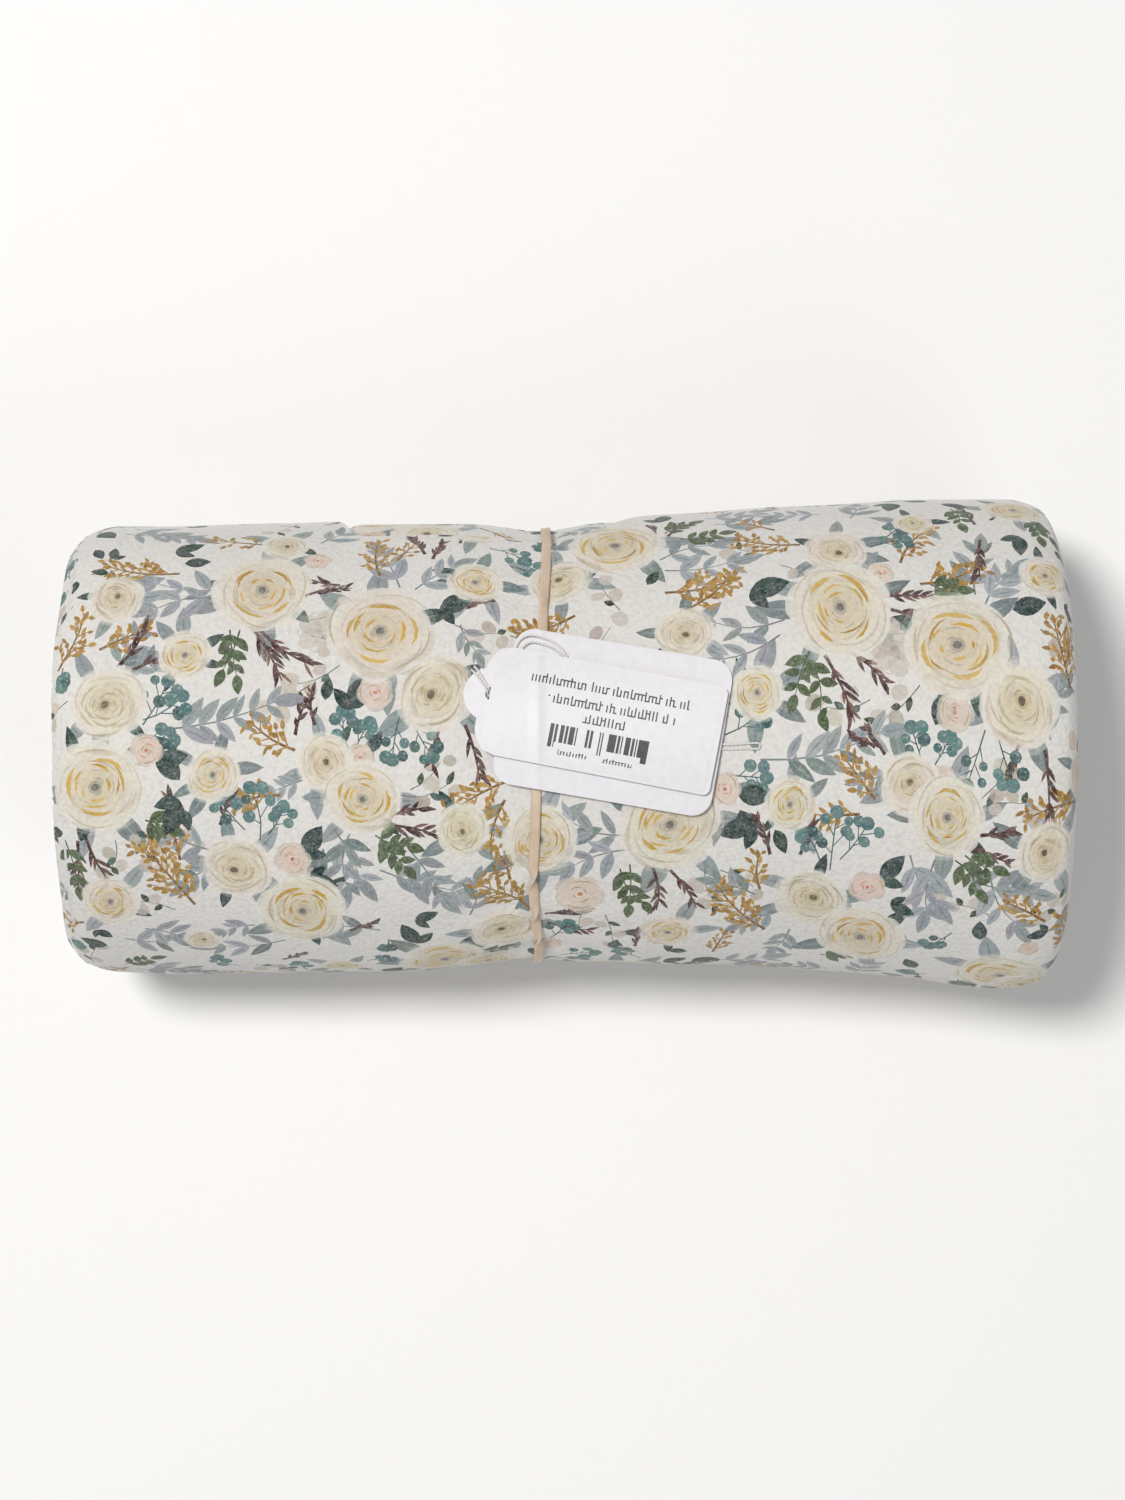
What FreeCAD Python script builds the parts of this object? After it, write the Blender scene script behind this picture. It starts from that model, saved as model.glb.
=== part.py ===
import FreeCAD, Part
import math
import os

# A rolled length of knit cloth held by one rubber band, with two strung card tags lying on top of it.
# Millimetres, +Z up, +X along the roll. Origin: middle of the footprint, on the surface the roll lies on.

V = FreeCAD.Vector
Rot = FreeCAD.Rotation
doc = FreeCAD.newDocument("cloth_roll")

# ---------------------------------------------------------------- driving dimensions
dims = doc.addObject("Spreadsheet::Sheet", "dims")
row = [0]


def cell(alias, value, note=""):
    row[0] += 1
    here = "B%d" % row[0]
    dims.set("A%d" % row[0], alias)
    dims.set(here, repr(float(value)))
    dims.set("C%d" % row[0], note)
    dims.setAlias(here, alias)


# Stations along the roll: x, half width, sideways offset, height of the crown, lowest point before the flat is cut.
# The underside of every station but the waist runs below zero, and is cut flat where the roll rests.
STATIONS = [
    ("endwest", -142.7, 46.0, -1.0, 95.0, 12.0),
    ("rimwest", -141.2, 56.5, -1.3, 101.3, 3.6),
    ("bevelwest", -137.4, 62.4, -1.4, 105.2, -2.8),
    ("shoulderwest", -129.0, 64.7, -1.4, 106.6, -5.5),
    ("bodywest", -90.0, 65.0, -1.2, 107.0, -5.5),
    ("innerwest", -48.0, 65.2, -0.7, 107.6, -5.0),
    ("flarewest", -26.0, 64.4, -0.2, 107.9, -3.0),
    ("lipwest", -12.5, 62.5, 0.0, 107.5, 1.6),
    ("waistwest", -9.2, 62.1, 0.0, 107.3, 2.4),
    ("waisteast", -4.0, 62.1, 0.0, 107.4, 2.4),
    ("lipeast", -0.6, 62.6, 0.1, 107.8, 1.6),
    ("flareeast", 13.0, 64.0, 1.0, 108.9, -3.0),
    ("innereast", 42.0, 65.4, 1.8, 109.7, -5.5),
    ("bodyeast", 72.0, 67.4, 2.4, 110.8, -6.0),
    ("rumpeast", 100.0, 69.2, 1.4, 112.4, -6.5),
    ("shouldereast", 129.0, 70.6, 0.0, 113.6, -6.5),
    ("beveleast", 137.5, 68.4, -0.2, 111.9, -4.4),
    ("rimeast", 141.2, 62.0, -0.5, 107.0, 2.0),
    ("endeast", 142.7, 51.0, -0.8, 100.0, 10.5),
]
for name, x, half, off, top, low in STATIONS:
    cell(name + "_pos", x, "station along the roll")
    cell(name + "_half", half, "half width")
    cell(name + "_off", off, "sideways offset")
    cell(name + "_top", top, "height of the crown")
    cell(name + "_low", low, "lowest point before the flat is cut")

# Rubber band: a flat strip, closed, round the waist and over the lower tag.
cell("band_pos", -6.6, "where the band crosses the crown")
cell("band_wide", 2.6, "strip width")
cell("band_thick", 0.8, "strip thickness")
cell("band_half", 62.8, "half width inside the band")
cell("band_top", 110.45, "inside height of the band")
cell("band_low", 1.5, "inside low point of the band")
cell("band_skew", -1.7, "turn of the band about the vertical, degrees")

# The cards bend over the crown. Every layer is a shell about one long axis.
cell("crown_radius", 68.0, "radius of the crown under the cards")
cell("crown_top", 108.6, "height of that crown at the band")
cell("crown_tilt", 1.4, "rise of the crown towards +X, degrees")
cell("lower_card_base", 1.40, "underside of the lower card above the crown")
cell("lower_card_face", 1.75, "top of the lower card above the crown")
cell("upper_card_base", 3.10, "underside of the upper card above the crown")
cell("upper_card_face", 3.45, "top of the upper card above the crown")
cell("label_face", 3.55, "top of the label above the crown")

# Lower card: 70 x 43 mm strung tag with a rounded nub.
cell("low_hole_x", -18.9, "hole of the lower card")
cell("low_hole_y", 11.8, "hole of the lower card")
cell("low_turn", -9.8, "turn of the lower card, degrees")
cell("low_long", 60.5, "body length")
cell("low_wide", 43.3, "body width")
cell("low_start", 2.9, "hole to body edge")
cell("low_down", 21.6, "hole to lower long edge")
cell("low_nub", 6.5, "nub radius")
cell("low_hole", 1.8, "hole radius")
cell("low_corner", 5.5, "corner radius")

# Upper card: 71 x 30 mm strung tag, same make.
cell("up_hole_x", -19.2, "hole of the upper card")
cell("up_hole_y", 13.9, "hole of the upper card")
cell("up_turn", -10.8, "turn of the upper card, degrees")
cell("up_long", 66.2, "body length")
cell("up_wide", 30.0, "body width")
cell("up_start", -3.0, "hole to body edge")
cell("up_down", 16.4, "hole to lower long edge")
cell("up_nub", 7.4, "nub radius")
cell("up_hole", 1.9, "hole radius")
cell("up_corner", 7.5, "corner radius at the strung end")
cell("up_corner_far", 2.0, "corner radius at the far end")
cell("label_long", 62.4, "label length")
cell("label_wide", 28.6, "label width")
cell("label_start", -0.6, "hole to label edge")
cell("label_down", 15.7, "hole to lower long edge of the label")
cell("label_corner", 1.6, "label corner radius")

cell("thread_diameter", 0.70, "twisted cotton thread")
doc.recompute()


def size(alias):
    return float(getattr(dims, alias))


def bind(obj, **links):
    for prop, expression in links.items():
        obj.setExpression(prop.replace("__", "."), expression)


# ---------------------------------------------------------------- rolled cloth
UPRIGHT = Rot(V(1, 1, 1), 120)  # local X to +Y, local Y to +Z, local Z to +X


def ring(name, half, height, x, y, z, turn=None):
    e = doc.addObject("Part::Ellipse", name)
    e.Placement = FreeCAD.Placement(V(0, 0, 0), turn or UPRIGHT)
    # the long radius first, so the ellipse is valid while its expressions settle
    e.MajorRadius = 80
    e.MinorRadius = 40
    e.setExpression("MajorRadius", half)
    e.setExpression("MinorRadius", height)
    e.setExpression("Placement.Base.x", x)
    e.setExpression("Placement.Base.y", y)
    e.setExpression("Placement.Base.z", z)
    return e


stations = []
for name, *_ in STATIONS:
    d = "dims." + name
    stations.append(
        ring(
            "turn_" + name,
            d + "_half",
            "(%s_top - %s_low) / 2" % (d, d),
            d + "_pos",
            d + "_off",
            "(%s_top + %s_low) / 2" % (d, d),
        )
    )
loft = doc.addObject("Part::Loft", "roll_skin")
loft.Sections = stations
loft.Solid = True
loft.Ruled = False
loft.Closed = False

floor_trim = doc.addObject("Part::Box", "floor_trim")
floor_trim.Length = 400
floor_trim.Width = 200
floor_trim.Height = 40
floor_trim.Placement = FreeCAD.Placement(V(-200, -100, -40), Rot())

rolled_cloth = doc.addObject("Part::Cut", "rolled_cloth_cut")
rolled_cloth.Base = loft
rolled_cloth.Tool = floor_trim

# ---------------------------------------------------------------- rubber band
SKEW = Rot(V(0, 0, 1), size("band_skew")).multiply(UPRIGHT)
band_mid = "(dims.band_top + dims.band_low) / 2"
band_tall = "(dims.band_top - dims.band_low) / 2"
inner_loop = ring(
    "band_inner_loop", "dims.band_half", band_tall, "dims.band_pos - dims.band_wide / 2", "0", band_mid, SKEW
)
outer_loop = ring(
    "band_outer_loop",
    "dims.band_half + dims.band_thick",
    band_tall + " + dims.band_thick",
    "dims.band_pos - dims.band_wide / 2",
    "0",
    band_mid,
    SKEW,
)
solids = []
for loop, name in ((inner_loop, "band_inner"), (outer_loop, "band_outer")):
    ex = doc.addObject("Part::Extrusion", name)
    ex.Base = loop
    ex.DirMode = "Custom"
    ex.Dir = SKEW.multVec(V(0, 0, 1))
    ex.Solid = True
    ex.setExpression("LengthFwd", "dims.band_wide")
    solids.append(ex)
rubber_band = doc.addObject("Part::Cut", "rubber_band_cut")
rubber_band.Base = solids[1]
rubber_band.Tool = solids[0]

# ---------------------------------------------------------------- card shells
TILT = size("crown_tilt")
ALONG = Rot(V(0, 1, 0), 90 - TILT)  # local Z runs along the crown


def crown_cylinder(name, rise):
    c = doc.addObject("Part::Cylinder", name)
    c.Height = 130
    c.Placement = FreeCAD.Placement(V(-62, 0, 0), ALONG)
    c.setExpression("Radius", "dims.crown_radius + dims." + rise)
    c.setExpression(
        "Placement.Base.z", "dims.crown_top - dims.crown_radius + tan(dims.crown_tilt) * (-62 - dims.band_pos)"
    )
    return c


def shell(name, low, high):
    s = doc.addObject("Part::Cut", name)
    s.Base = crown_cylinder(name + "_outside", high)
    s.Tool = crown_cylinder(name + "_inside", low)
    return s


def card_blank(name, key, long, wide, start, down, corners, nub=None, hole=None):
    """The flat outline of a card, standing as a tall prism, in its own frame with the hole at the origin."""
    box = doc.addObject("Part::Box", name + "_sheet")
    box.Height = 40
    box.Placement = FreeCAD.Placement(V(0, 0, 88), Rot())
    bind(box, Length="dims." + long, Width="dims." + wide)
    box.setExpression("Placement.Base.x", "dims." + start)
    box.setExpression("Placement.Base.y", "-dims." + down)
    doc.recompute()
    edges = []
    middle = box.Shape.BoundBox.Center.x
    for i, e in enumerate(box.Shape.Edges, 1):
        a, b = e.Vertexes[0].Point, e.Vertexes[1].Point
        if abs(a.x - b.x) < 1e-6 and abs(a.y - b.y) < 1e-6:
            radius = size(corners[0]) if a.x < middle else size(corners[1])
            edges.append((i, radius, radius))
    body = doc.addObject("Part::Fillet", name + "_rounded")
    body.Base = box
    body.Edges = edges
    if nub:
        n = doc.addObject("Part::Cylinder", name + "_nub")
        n.Height = 40
        n.Placement = FreeCAD.Placement(V(nub[1], nub[2], 88), Rot())
        n.setExpression("Radius", "dims." + nub[0])
        f = doc.addObject("Part::Fuse", name + "_with_nub")
        f.Base, f.Tool = body, n
        body = f
    if hole:
        hcyl = doc.addObject("Part::Cylinder", name + "_string_hole")
        hcyl.Height = 60
        hcyl.Placement = FreeCAD.Placement(V(0, 0, 80), Rot())
        hcyl.setExpression("Radius", "dims." + hole)
        c = doc.addObject("Part::Cut", name + "_punched")
        c.Base, c.Tool = body, hcyl
        body = c
    body.Placement = FreeCAD.Placement(V(0, 0, 0), Rot(V(0, 0, 1), size(key + "_turn")))
    body.setExpression("Placement.Base.x", "dims." + key + "_hole_x")
    body.setExpression("Placement.Base.y", "dims." + key + "_hole_y")
    return body


def bent(name, blank, low, high):
    c = doc.addObject("Part::Common", name)
    c.Base = blank
    c.Tool = shell(name + "_layer", low, high)
    return c


backing_tag = bent(
    "backing_tag_bent",
    card_blank(
        "backing_tag",
        "low",
        "low_long",
        "low_wide",
        "low_start",
        "low_down",
        ("low_corner", "low_corner"),
        nub=("low_nub", 0.0, 0.0),
        hole="low_hole",
    ),
    "lower_card_base",
    "lower_card_face",
)
price_tag = bent(
    "price_tag_bent",
    card_blank(
        "price_tag",
        "up",
        "up_long",
        "up_wide",
        "up_start",
        "up_down",
        ("up_corner", "up_corner_far"),
        nub=("up_nub", -0.4, -0.3),
        hole="up_hole",
    ),
    "upper_card_base",
    "upper_card_face",
)
price_label = bent(
    "price_label_bent",
    card_blank(
        "price_label",
        "up",
        "label_long",
        "label_wide",
        "label_start",
        "label_down",
        ("label_corner", "label_corner"),
    ),
    "upper_card_face",
    "label_face",
)

# ---------------------------------------------------------------- tag threads
T = math.tan(math.radians(TILT))
C = math.cos(math.radians(TILT))
R_CROWN = size("crown_radius")


def on_crown(x, y, rise):
    """A point at a height above the crown, measured square to it."""
    axis = size("crown_top") - R_CROWN + T * (x - size("band_pos"))
    return V(x, y, axis + math.sqrt((R_CROWN + rise) ** 2 - y * y) / C)


# Each thread is one length, doubled: from its knot under the hole, out, round the end of the loop and back.
# Columns: x, y, rise above the crown.
BACKING_ROUTE = [
    (-19.25, 11.55, 0.72),
    (-19.20, 12.05, 2.25),
    (-17.90, 13.90, 2.22),
    (-14.90, 18.20, 2.20),
    (-12.90, 23.60, 2.20),
    (-12.60, 28.30, 2.45),
    (-9.30, 30.60, 3.45),
    (-3.30, 28.90, 3.45),
    (0.70, 25.70, 2.35),
    (2.60, 20.80, 2.18),
    (6.90, 15.90, 2.20),
    (11.50, 12.40, 2.20),
    (14.60, 10.20, 2.20),
    (15.70, 11.50, 2.20),
    (12.70, 13.60, 2.20),
    (8.20, 17.20, 2.20),
    (4.30, 21.10, 2.20),
    (-0.40, 24.90, 2.45),
    (-3.50, 27.20, 3.42),
    (-8.60, 28.60, 3.42),
    (-11.10, 26.90, 2.40),
    (-11.70, 23.20, 2.20),
    (-13.80, 17.50, 2.22),
    (-16.90, 13.20, 2.20),
    (-18.35, 12.00, 2.25),
    (-18.45, 11.60, 0.72),
]
PRICE_ROUTE = [
    (-20.36, 14.00, 2.42),
    (-20.38, 14.38, 4.02),
    (-22.10, 17.10, 3.98),
    (-24.20, 20.00, 3.95),
    (-25.10, 20.60, 2.30),
    (-23.90, 19.80, 0.74),
    (-19.80, 17.30, 0.70),
    (-10.20, 15.00, 0.70),
    (6.00, 8.60, 0.70),
    (22.00, 4.70, 0.70),
    (37.00, -0.40, 0.70),
    (45.00, -1.30, 0.66),
    (49.60, -1.05, 0.60),
    (52.20, -1.18, 0.58),
    (53.90, -1.10, 0.58),
    (53.95, 0.50, 0.58),
    (52.30, 0.44, 0.58),
    (49.50, 0.30, 0.60),
    (45.00, -0.10, 0.66),
    (37.50, 1.00, 0.70),
    (22.50, 6.10, 0.70),
    (6.50, 9.90, 0.70),
    (-9.80, 16.30, 0.70),
    (-19.00, 18.70, 0.70),
    (-23.20, 20.60, 0.74),
    (-24.35, 21.60, 2.30),
    (-23.46, 20.75, 3.95),
    (-21.62, 18.00, 3.98),
    (-19.97, 15.11, 4.02),
    (-19.97, 14.75, 2.42),
]


def rounded(points, name):
    """Straight runs joined by tangent arcs. Each arc is as large as its two runs allow."""
    edges = []
    last = points[0]
    radii = []
    for i in range(1, len(points) - 1):
        p, q, r = points[i - 1], points[i], points[i + 1]
        a, b = (q - p), (r - q)
        la, lb = a.Length, b.Length
        a, b = V(a).normalize(), V(b).normalize()
        turn = a.getAngle(b)
        trim = 0.45 * min(la, lb)
        radius = trim / math.tan(turn / 2)
        radii.append((radius, math.degrees(turn), min(la, lb)))
        start, end = q - a * trim, q + b * trim
        bisector = V(b - a).normalize()
        reach = radius / math.cos(turn / 2)
        middle = q + bisector * (reach - radius)
        edges.append(Part.LineSegment(last, start).toShape())
        edges.append(Part.Arc(start, middle, end).toShape())
        last = end
    edges.append(Part.LineSegment(last, points[-1]).toShape())
    wire = Part.Wire(edges)
    print(
        "%s: length %.1f, smallest radius %.2f (%.2f diameters), largest turn %.0f"
        % (name, wire.Length, min(radii)[0], min(radii)[0] / size("thread_diameter"), max(r[1] for r in radii))
    )
    return wire


def thread(name, route):
    points = [on_crown(*p) for p in route]
    wire = rounded(points, name)
    radius = size("thread_diameter") / 2
    circle = Part.Circle(points[0], (points[1] - points[0]), radius)
    tube = wire.makePipeShell([Part.Wire([circle.toShape()])], True, False)
    expected = math.pi * radius * radius * wire.Length
    print("%s: tube volume %.2f, section times length %.2f" % (name, tube.Volume, expected))
    if abs(tube.Volume - expected) > 0.02 * expected:
        raise ValueError(name + ": the tube isn't its section times its length")
    if not tube.isValid():
        raise ValueError(name + ": the tube isn't valid")
    line = doc.addObject("Part::Feature", name + "_tube")
    line.Shape = tube
    line.Placement = FreeCAD.Placement(V(0, 0, 0), Rot())
    return line


backing_tag_string = thread("backing_tag_string", BACKING_ROUTE)
price_tag_string = thread("price_tag_string", PRICE_ROUTE)

# ---------------------------------------------------------------- check and write
NODES = {
    "rolled_cloth": rolled_cloth,
    "rubber_band": rubber_band,
    "backing_tag": backing_tag,
    "backing_tag_string": backing_tag_string,
    "price_tag": price_tag,
    "price_tag_string": price_tag_string,
    "price_label": price_label,
}
for label, obj in NODES.items():
    obj.Label = label
doc.recompute()

for obj in doc.Objects:
    bad = [s for s in obj.State if s in ("Invalid", "Error")]
    if bad:
        raise ValueError("%s is %s" % (obj.Name, bad))
for label, obj in NODES.items():
    shape = obj.Shape
    if shape.isNull() or not shape.isValid():
        raise ValueError(label + " has no valid shape")
    if len(shape.Solids) != 1:
        raise ValueError("%s has %d solids" % (label, len(shape.Solids)))
    bb = shape.BoundBox
    print(
        "%-20s volume %12.2f  x %.2f..%.2f  y %.2f..%.2f  z %.2f..%.2f"
        % (label, shape.Volume, bb.XMin, bb.XMax, bb.YMin, bb.YMax, bb.ZMin, bb.ZMax)
    )

os.makedirs("parts", exist_ok=True)
for label, obj in NODES.items():
    obj.Shape.exportStep("parts/%s.step" % label)
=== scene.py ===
import math
import random

import bpy
import numpy as np
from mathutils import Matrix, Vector, geometry


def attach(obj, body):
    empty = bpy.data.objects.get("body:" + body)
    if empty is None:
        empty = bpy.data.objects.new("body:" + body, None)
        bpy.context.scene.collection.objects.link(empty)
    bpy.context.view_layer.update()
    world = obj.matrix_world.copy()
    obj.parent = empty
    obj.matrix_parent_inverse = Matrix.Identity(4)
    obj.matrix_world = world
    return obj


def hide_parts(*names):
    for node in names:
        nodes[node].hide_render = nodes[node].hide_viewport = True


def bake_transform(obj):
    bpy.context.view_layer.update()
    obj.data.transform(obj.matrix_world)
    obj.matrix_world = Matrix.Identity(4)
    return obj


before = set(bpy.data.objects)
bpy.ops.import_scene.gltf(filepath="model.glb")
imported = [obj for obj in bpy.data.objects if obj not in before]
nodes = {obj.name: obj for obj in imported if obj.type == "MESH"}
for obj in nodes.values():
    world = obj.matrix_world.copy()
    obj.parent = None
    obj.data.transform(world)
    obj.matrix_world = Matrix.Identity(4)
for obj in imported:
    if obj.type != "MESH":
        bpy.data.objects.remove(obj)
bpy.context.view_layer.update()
MM = 0.001
scene = bpy.context.scene


def linear(rgb):
    """0-255 screen colour to linear light."""
    c = np.array(rgb, float) / 255.0
    return np.where(c <= 0.04045, c / 12.92, ((c + 0.055) / 1.055) ** 2.4)


# ---------------------------------------------------------------- camera
cam_data = bpy.data.cameras.new("camera")
camera = bpy.data.objects.new("camera", cam_data)
scene.collection.objects.link(camera)
camera.location = (0.0, -0.00145, 0.992)
camera.rotation_euler = (0.0, 0.0, 0.0)
cam_data.sensor_fit = "AUTO"
cam_data.sensor_width = 36.0
cam_data.lens = 77.46
cam_data.clip_start = 0.02
cam_data.clip_end = 20.0
scene.camera = camera

# ---------------------------------------------------------------- the roll's outer shape
# x, half width, sideways offset, crown height, lowest point before the flat underside, in mm
STATIONS = np.array(
    [
        (-142.7, 46, -1, 95, 12),
        (-141.2, 56.5, -1.3, 101.3, 3.6),
        (-137.4, 62.4, -1.4, 105.2, -2.8),
        (-129, 64.7, -1.4, 106.6, -5.5),
        (-90, 65, -1.2, 107, -5.5),
        (-48, 65.2, -0.7, 107.6, -5),
        (-26, 64.4, -0.2, 107.9, -3),
        (-12.5, 62.5, 0, 107.5, 1.6),
        (-9.2, 62.1, 0, 107.3, 2.4),
        (-4, 62.1, 0, 107.4, 2.4),
        (-0.6, 62.6, 0.1, 107.8, 1.6),
        (13, 64, 1, 108.9, -3),
        (42, 65.4, 1.8, 109.7, -5.5),
        (72, 67.4, 2.4, 110.8, -6),
        (100, 69.2, 1.4, 112.4, -6.5),
        (129, 70.6, 0, 113.6, -6.5),
        (137.5, 68.4, -0.2, 111.9, -4.4),
        (141.2, 62, -0.5, 107, 2),
        (142.7, 51, -0.8, 100, 10.5),
    ]
)
BAND_X = -6.6
TILT = math.tan(math.radians(1.4))
COS_TILT = math.cos(math.radians(1.4))


def smooth_through(xs, ys):
    """A monotone cubic through the points, as a function."""
    h = np.diff(xs)
    d = np.diff(ys) / h
    m = np.zeros(len(xs))
    m[0], m[-1] = d[0], d[-1]
    for i in range(1, len(xs) - 1):
        if d[i - 1] * d[i] > 0:
            w1, w2 = 2 * h[i] + h[i - 1], h[i] + 2 * h[i - 1]
            m[i] = (w1 + w2) / (w1 / d[i - 1] + w2 / d[i])

    def f(x):
        x = np.clip(np.asarray(x, float), xs[0], xs[-1])
        i = np.clip(np.searchsorted(xs, x) - 1, 0, len(xs) - 2)
        t = (x - xs[i]) / h[i]
        return (
            ys[i] * (1 + 2 * t) * (1 - t) ** 2
            + h[i] * m[i] * t * (1 - t) ** 2
            + ys[i + 1] * t * t * (3 - 2 * t)
            + h[i] * m[i + 1] * t * t * (t - 1)
        )

    return f


PROFILE = [smooth_through(STATIONS[:, 0], STATIONS[:, k]) for k in range(1, 5)]


def smoothstep(t):
    t = np.clip(t, 0.0, 1.0)
    return t * t * (3 - 2 * t)


def crown(x, y, rise):
    """Height of the thin shells that the cards and threads follow, in mm."""
    return 108.6 - 68 + TILT * (x - BAND_X) + math.sqrt((68 + rise) ** 2 - y * y) / COS_TILT


# ---------------------------------------------------------------- threads (cords)
BACKING_ROUTE = [
    (-19.25, 11.55, 0.72), (-19.20, 12.05, 2.25), (-17.90, 13.90, 2.22), (-14.90, 18.20, 2.20),
    (-12.90, 23.60, 2.20), (-12.60, 28.30, 2.45), (-9.30, 30.60, 3.45), (-3.30, 28.90, 3.45),
    (0.70, 25.70, 2.35), (2.60, 20.80, 2.18), (6.90, 15.90, 2.20), (11.50, 12.40, 2.20),
    (14.60, 10.20, 2.20), (15.70, 11.50, 2.20), (12.70, 13.60, 2.20), (8.20, 17.20, 2.20),
    (4.30, 21.10, 2.20), (-0.40, 24.90, 2.45), (-3.50, 27.20, 3.42), (-8.60, 28.60, 3.42),
    (-11.10, 26.90, 2.40), (-11.70, 23.20, 2.20), (-13.80, 17.50, 2.22), (-16.90, 13.20, 2.20),
    (-18.35, 12.00, 2.25), (-18.45, 11.60, 0.72),
]
PRICE_ROUTE = [
    (-20.36, 14.00, 2.42), (-20.38, 14.38, 4.02), (-22.10, 17.10, 3.98), (-24.20, 20.00, 3.95),
    (-25.10, 20.60, 2.30), (-23.90, 19.80, 0.74), (-19.80, 17.30, 0.70), (-10.20, 15.00, 0.70),
    (6.00, 8.60, 0.70), (22.00, 4.70, 0.70), (37.00, -0.40, 0.70), (45.00, -1.30, 0.66),
    (49.60, -1.05, 0.60), (52.20, -1.18, 0.58), (53.90, -1.10, 0.58), (53.95, 0.50, 0.58),
    (52.30, 0.44, 0.58), (49.50, 0.30, 0.60), (45.00, -0.10, 0.66), (37.50, 1.00, 0.70),
    (22.50, 6.10, 0.70), (6.50, 9.90, 0.70), (-9.80, 16.30, 0.70), (-19.00, 18.70, 0.70),
    (-23.20, 20.60, 0.74), (-24.35, 21.60, 2.30), (-23.46, 20.75, 3.95), (-21.62, 18.00, 3.98),
    (-19.97, 15.11, 4.02), (-19.97, 14.75, 2.42),
]
THREAD = 0.70


def spline_line(name, points_mm):
    """The smooth line of a route, read from an open NURBS spline with the route's points as its control points, in metres."""
    cu = bpy.data.curves.new(name + "_line", "CURVE")
    cu.dimensions = "3D"
    sp = cu.splines.new("NURBS")
    sp.points.add(len(points_mm) - 1)
    for p, (x, y, z) in zip(sp.points, points_mm):
        p.co = (x * MM, y * MM, z * MM, 1.0)
    sp.order_u = 3
    sp.use_endpoint_u = True
    sp.resolution_u = 24
    ob = bpy.data.objects.new(name + "_line", cu)
    scene.collection.objects.link(ob)
    bpy.context.view_layer.update()
    me = bpy.data.meshes.new_from_object(ob)
    line = np.array([v.co for v in me.vertices], float)
    bpy.data.objects.remove(ob)
    bpy.data.curves.remove(cu)
    bpy.data.meshes.remove(me)
    return line


def even(line, step):
    seg = np.linalg.norm(np.diff(line, axis=0), axis=1)
    keep = np.concatenate([[True], seg > 1e-9])
    line = line[keep]
    seg = np.linalg.norm(np.diff(line, axis=0), axis=1)
    at = np.concatenate([[0], np.cumsum(seg)])
    n = max(4, int(round(at[-1] / step)))
    t = np.linspace(0, at[-1], n + 1)
    return np.stack([np.interp(t, at, line[:, k]) for k in range(3)], 1), t


def frames(line):
    """Tangents and two side vectors along a line, carried with the least turning."""
    t = np.gradient(line, axis=0)
    t /= np.linalg.norm(t, axis=1)[:, None]
    n = np.zeros_like(t)
    start = np.cross(t[0], (0.0, 0.3, 1.0))
    n[0] = start / np.linalg.norm(start)
    for i in range(1, len(line)):
        v = n[i - 1] - t[i] * (n[i - 1] @ t[i])
        n[i] = v / np.linalg.norm(v)
    return t, n, np.cross(t, n)


def new_mesh(name, verts, faces, smooth=True):
    me = bpy.data.meshes.new(name)
    me.from_pydata([tuple(v) for v in verts], [], faces)
    me.validate()
    if smooth:
        me.polygons.foreach_set("use_smooth", [True] * len(me.polygons))
    me.update()
    ob = bpy.data.objects.new(name, me)
    scene.collection.objects.link(ob)
    return ob


def tube(verts, faces, centre, n, b, radius, sides):
    """Adds a closed tube round a line to the lists."""
    base = len(verts)
    count = len(centre)
    for i in range(count):
        for k in range(sides):
            a = 2 * math.pi * k / sides
            verts.append(centre[i] + radius[i] * (math.cos(a) * n[i] + math.sin(a) * b[i]))
    for i in range(count - 1):
        for k in range(sides):
            p = base + i * sides + k
            q = base + i * sides + (k + 1) % sides
            faces.append((p, q, q + sides, p + sides))
    faces.append(tuple(base + k for k in reversed(range(sides))))
    faces.append(tuple(base + (count - 1) * sides + k for k in range(sides)))


def thread_mesh(name, line, seed, plies=2, pitch=2.1, step=0.22, sides=7):
    """A soft two-ply twisted thread that follows a line."""
    rng = random.Random(seed)
    pts, t = even(line, step * MM)
    _, n, b = frames(pts)
    verts, faces = [], []
    wob = [rng.uniform(0, 6.28) for _ in range(4)]
    for ply in range(plies):
        turn = 2 * math.pi * t / (pitch * MM) + 2 * math.pi * ply / plies
        turn = turn + 0.35 * np.sin(t / (3.1 * MM) + wob[0])
        off = 0.165 * MM * (1 + 0.10 * np.sin(t / (1.7 * MM) + wob[1 + ply]))
        side = np.cos(turn)[:, None] * n + np.sin(turn)[:, None] * b
        centre = pts + off[:, None] * side
        _, pn, pb = frames(centre)
        radius = 0.182 * MM * (1 + 0.07 * np.sin(t / (0.9 * MM) + wob[3]))
        tube(verts, faces, centre, pn, pb, radius, sides)
    return new_mesh(name, verts, faces)


def on_crown(route):
    return [(x, y, crown(x, y, r)) for x, y, r in route]


backing_line = spline_line("backing_tag_string", on_crown(BACKING_ROUTE))
price_line = spline_line("price_tag_string", on_crown(PRICE_ROUTE))
backing_thread = thread_mesh("backing_tag_thread", backing_line, 11)
price_thread = thread_mesh("price_tag_thread", price_line, 12)


def line_length(line):
    return float(np.linalg.norm(np.diff(line, axis=0), axis=1).sum())


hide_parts("backing_tag_string")
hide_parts("price_tag_string")
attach(backing_thread, "roll")
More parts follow.
